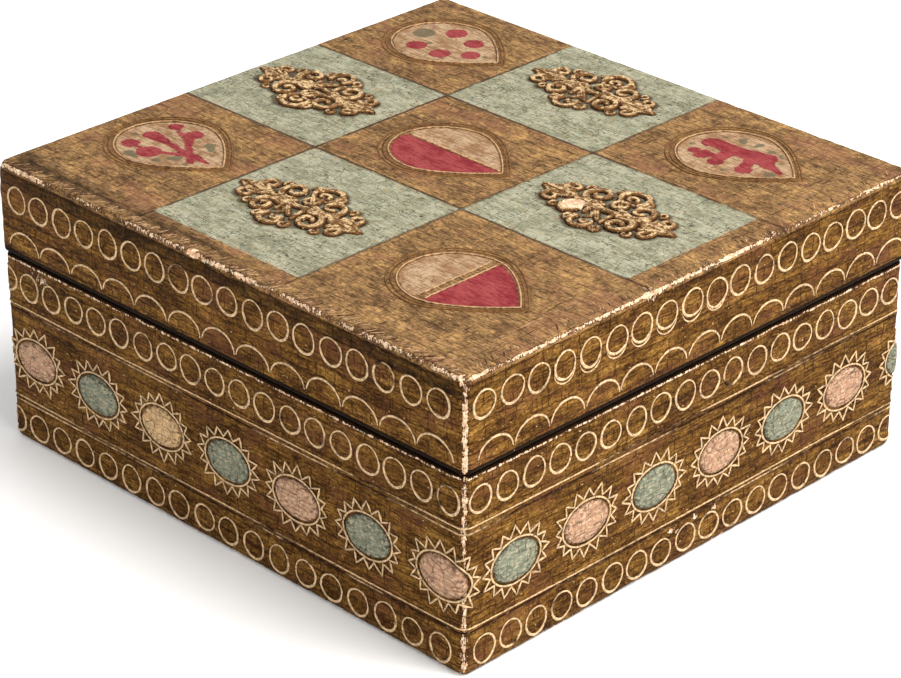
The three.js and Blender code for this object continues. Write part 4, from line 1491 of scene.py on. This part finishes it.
def spiral(x, y, r0, r1, t0, t1, w0, w1):
    """Points (x, y, half width) of a scroll about a centre; angles in turns."""
    share = np.linspace(0, 1, SPIRAL_POINTS)
    angle = (t0 + (t1 - t0) * share) * 2 * math.pi
    radius = r0 + (r1 - r0) * share
    return np.stack([x + radius * np.cos(angle), y + radius * np.sin(angle), w0 + (w1 - w0) * share], -1)


def scroll_strokes():
    """Strokes of one scroll ornament, with their heights, about its middle."""
    volutes = [(spiral(*row), height) for *row, height in VOLUTES]
    leaves = []
    for way in (-1, 1):
        for rise, bow, half in LEAF_FAN:
            start = [10.3 * way, rise * 0.5, 0.35]
            end = [20.6 * way - way * abs(rise) * 1.5, rise * 0.55, 0.22]
            leaves.append(([start, [14.2 * way, bow, half], end], 1.3 - abs(rise) * 0.12))
    return volutes + [(np.array(line, float), height) for line, height in (*STEMS, *leaves)]


def stroke_relief(points, line, height):
    """Height of a grooved stroke over the ground, falling below it outside, before the carving's scale."""
    best = np.full(len(points), -FAR)
    for start, end in zip(line[:-1], line[1:]):
        distance, share = segment_distance(points, start[:2], end[:2])
        half = start[2] + (end[2] - start[2]) * share
        ratio = distance / (half * 1.28)
        ridge = np.sqrt(np.maximum(1 - ratio**2, 0)) - 0.3 * np.exp(-((ratio / 0.3) ** 2))
        best = np.maximum(best, np.where(ratio < 1, ridge, (1 - ratio) * 0.9))
    return best * height


CARVING_PITCH = 0.24
CARVING_SCALE = 0.62
CARVING_BACK = 0.9
CHIPPED_SCROLL = 1
MIRRORED_SCROLL = 3


class TRINKETBOX_OT_scrolls(BoxOperator, bpy.types.Operator):
    """Carve the four scroll ornaments on the green cells"""

    bl_idname = "trinket_box.scrolls"
    bl_label = "Scroll carvings"

    def execute(self, context):
        x, y = np.meshgrid(np.arange(-21.6, 21.7, CARVING_PITCH), np.arange(-12.6, 12.7, CARVING_PITCH))
        flat = np.stack([x.ravel(), y.ravel()], -1)
        strokes = scroll_strokes()
        heights = np.array([[height] for _, height in strokes])
        material = carved_material("carved_scrolls", palette_of(context.scene.trinket_box_colours))
        for number, middle in enumerate(SCROLLS):
            spots = np.concatenate([flat, np.full((len(flat), 1), number * 50.0)], 1)
            bent = flat + (np.stack([noise(spots, 6, 31), noise(spots, 6, 32)], -1) - 0.5) * 0.9
            if number == MIRRORED_SCROLL:
                bent = bent * np.array([1, -1])
            reliefs = np.array([stroke_relief(bent, line, height) for line, height in strokes])
            top, second = reliefs.max(0), np.sort(reliefs, axis=0)[-2]
            height = np.where(top > 0, (top + 0.18 * np.clip(second, 0, 1.2)) * CARVING_SCALE, top)
            lumps = (noise(spots, 1.4, 33, 2) - 0.5) * 0.4
            height = np.where(height > 0, height * (0.95 + lumps), height)
            wear = np.zeros(len(flat))
            if number == CHIPPED_SCROLL:
                away = np.hypot(flat[:, 0] + 7.2, flat[:, 1] + 3.6) * (0.8 + 0.5 * noise(spots, 1.8, 34))
                gone = smooth_step(3.0, 2.2, away)
                height = height * (1 - gone) + 0.35 * gone
                wear = gone * 1.4
            height = np.clip(height, -0.6, SCROLL_RELIEF)
            crest = np.clip((reliefs / heights).max(0), 0, 1)
            self.build(number, middle, x.shape, flat, height, {"crest": crest, "wear": wear}, material)
        return {"FINISHED"}

    def build(self, number, middle, shape, flat, height, values, material):
        """One carving as a closed block: its carved face, and a level back under the lid's top."""
        index = np.arange(shape[0] * shape[1]).reshape(shape)
        quads = np.stack([index[:-1, :-1], index[:-1, 1:], index[1:, 1:], index[1:, :-1]], -1).reshape(-1, 4)
        quads = quads[(height[quads] > -0.3).any(1)]
        used, quads = np.unique(quads, return_inverse=True)
        quads = quads.reshape(-1, 4)
        n = len(used)
        spots = flat[used] + np.array(middle)
        face = np.column_stack([spots, LID_TOP + height[used]])
        back = np.column_stack([spots, np.full(n, LID_TOP - CARVING_BACK)])
        pairs = np.concatenate([quads[:, [k, (k + 1) % 4]] for k in range(4)])
        keys = {tuple(p) for p in pairs.tolist()}
        skirt = sorted([b, a, a + n, b + n] for a, b in keys if (b, a) not in keys)
        faces = quads.tolist() + (quads[:, ::-1] + n).tolist() + skirt
        values = {key: np.concatenate([numbers[used], np.zeros(n)]) for key, numbers in values.items()}
        points = np.concatenate([face, back])
        add_object("scroll_carving_%d" % (number + 1), points, faces, [material], values)


# Axis, end, pitch, share of gaps, distance in from the edge, longest tick
TICK_ROWS = ((0, 74, 0.62, 0.12, 0.9, 3.0), (1, 70, 1.1, 0.4, 1.8, 2.0))


class TRINKETBOX_OT_border_ticks(BoxOperator, bpy.types.Operator):
    """Scratch in the fine slanted ticks along the lid's gold border"""

    bl_idname = "trinket_box.border_ticks"
    bl_label = "Border ticks"

    def execute(self, context):
        rng = np.random.default_rng(23)
        ticks = Strokes(on_lid_top)
        material = line_material("tick_gold", TICK_GOLD, TICK_FOOT)
        for axis, end, pitch, gaps, edge, reach in TICK_ROWS:
            at = -end
            while at < end - 3:
                at += rng.uniform(0.7, 1.4) * pitch
                if rng.random() < gaps:
                    continue
                near = edge + rng.uniform(0, 0.8)
                length = reach * rng.uniform(0.4, 1)
                slant = rng.uniform(0.2, 0.9)
                t = np.linspace(0, 1, 4)
                along = at + slant * length * t + 0.15 * np.sin(t * 3)
                depth = near + length * t
                if axis == 0:
                    path = np.stack([along, -LID_DEPTH / 2 + depth], -1)
                else:
                    path = np.stack([LID_WIDTH / 2 - depth, along], -1)
                ticks.add(path, rng.uniform(0.24, 0.46), 0.07, False, rng.uniform(0.0, 0.62))
        ticks.finish("border_ticks", [material], "gilded_lid")
        return {"FINISHED"}


# Stage

CAMERA = {
    "azimuth": 44.8, "elevation": 27.36, "distance": 759.848, "target": (12.0536, -12.8896, 35.8492),
    "roll": 0.17, "lens": 132.2,
}
SENSOR_WIDTH = 36
FLOOR_REACH = 6.0
PALE = (0.93, 0.93, 0.93)
SKY_STRENGTH = 0.75
WARM_WHITE = (1.0, 0.98, 0.95)
# Name, place, size and power of each lamp, and the point they look at, in metres
LAMPS = (
    ("key", (0.55, 0.25, 0.95), 0.7, 16), ("right_fill", (1.1, -0.25, 0.35), 0.6, 7),
    ("left_fill", (-0.35, -1.1, 0.3), 0.8, 1.6),
)
LAMP_TARGET = (0, 0, 0.04)


def add_light(name, place, size, power):
    data = bpy.data.lights.new(name, "AREA")
    data.shape = "DISK"
    data.size = size
    data.energy = power
    data.color = WARM_WHITE
    lamp = bpy.data.objects.new(name, data)
    lamp.location = place
    lamp.rotation_euler = (Vector(LAMP_TARGET) - Vector(place)).to_track_quat("-Z", "Y").to_euler()
    bpy.context.scene.collection.objects.link(lamp)


class TRINKETBOX_OT_stage(BoxOperator, bpy.types.Operator):
    """Set the pale floor, the soft lights and the camera"""

    bl_idname = "trinket_box.stage"
    bl_label = "Stage"

    def execute(self, context):
        scene = context.scene
        floor = bpy.data.meshes.new("floor")
        corners = [(x * FLOOR_REACH, y * FLOOR_REACH, 0) for x, y in ((-1, -1), (1, -1), (1, 1), (-1, 1))]
        floor.from_pydata(corners, [], [(0, 1, 2, 3)])
        floor.materials.append(Nodes("pale_floor").finish(PALE, 0.9))
        ground = bpy.data.objects.new("floor", floor)
        scene.collection.objects.link(ground)
        world = bpy.data.worlds.new("soft_white")
        world.use_nodes = True
        world.node_tree.nodes["Background"].inputs["Color"].default_value = (1, 1, 1, 1)
        world.node_tree.nodes["Background"].inputs["Strength"].default_value = SKY_STRENGTH
        scene.world = world
        for lamp in LAMPS:
            add_light(*lamp)
        scene.view_settings.view_transform = "Standard"
        self.add_camera(scene)
        return {"FINISHED"}

    def add_camera(self, scene):
        data = bpy.data.cameras.new("camera")
        data.lens = CAMERA["lens"]
        data.sensor_width = SENSOR_WIDTH
        azimuth, elevation, roll = (math.radians(CAMERA[key]) for key in ("azimuth", "elevation", "roll"))
        flat = math.cos(elevation)
        back = Vector((math.sin(azimuth) * flat, -math.cos(azimuth) * flat, math.sin(elevation)))
        x = Vector((0, 0, 1)).cross(back).normalized()
        y = back.cross(x)
        right = math.cos(roll) * x + math.sin(roll) * y
        up = -math.sin(roll) * x + math.cos(roll) * y
        turn = Matrix((right, up, back)).transposed().to_4x4()
        camera = bpy.data.objects.new("camera", data)
        place = Vector(CAMERA["target"]) + back * CAMERA["distance"]
        camera.matrix_world = Matrix.Translation(place * MM) @ turn
        data.clip_start = 0.01
        data.clip_end = 50
        scene.collection.objects.link(camera)
        scene.camera = camera


STEPS = (
    TRINKETBOX_OT_stage, TRINKETBOX_OT_base_shell, TRINKETBOX_OT_lid_shell, TRINKETBOX_OT_ring_rows,
    TRINKETBOX_OT_arches, TRINKETBOX_OT_mouldings, TRINKETBOX_OT_sunbursts, TRINKETBOX_OT_shield_lines,
    TRINKETBOX_OT_scrolls, TRINKETBOX_OT_border_ticks,
)


class TRINKETBOX_PT_panel(bpy.types.Panel):
    """List the sizes, the colours and the steps in the sidebar"""

    bl_label = "Trinket box"
    bl_idname = "TRINKETBOX_PT_panel"
    bl_space_type = "VIEW_3D"
    bl_region_type = "UI"
    bl_category = "Trinket box"

    def draw(self, context):
        layout = self.layout
        for group in (context.scene.trinket_box_sizes, context.scene.trinket_box_colours):
            box = layout.box()
            for key in group.__annotations__:
                box.prop(group, key)
        for step in STEPS:
            layout.operator(step.bl_idname)


CLASSES = (TrinketBoxSizes, TrinketBoxColours, *STEPS, TRINKETBOX_PT_panel)


def register():
    for cls in CLASSES:
        bpy.utils.register_class(cls)
    bpy.types.Scene.trinket_box_sizes = bpy.props.PointerProperty(type=TrinketBoxSizes)
    bpy.types.Scene.trinket_box_colours = bpy.props.PointerProperty(type=TrinketBoxColours)


def unregister():
    del bpy.types.Scene.trinket_box_colours
    del bpy.types.Scene.trinket_box_sizes
    for cls in reversed(CLASSES):
        bpy.utils.unregister_class(cls)


def main():
    register()
    for step in STEPS:
        group, name = step.bl_idname.split(".")
        getattr(getattr(bpy.ops, group), name)()


if __name__ == "__main__":
    main()
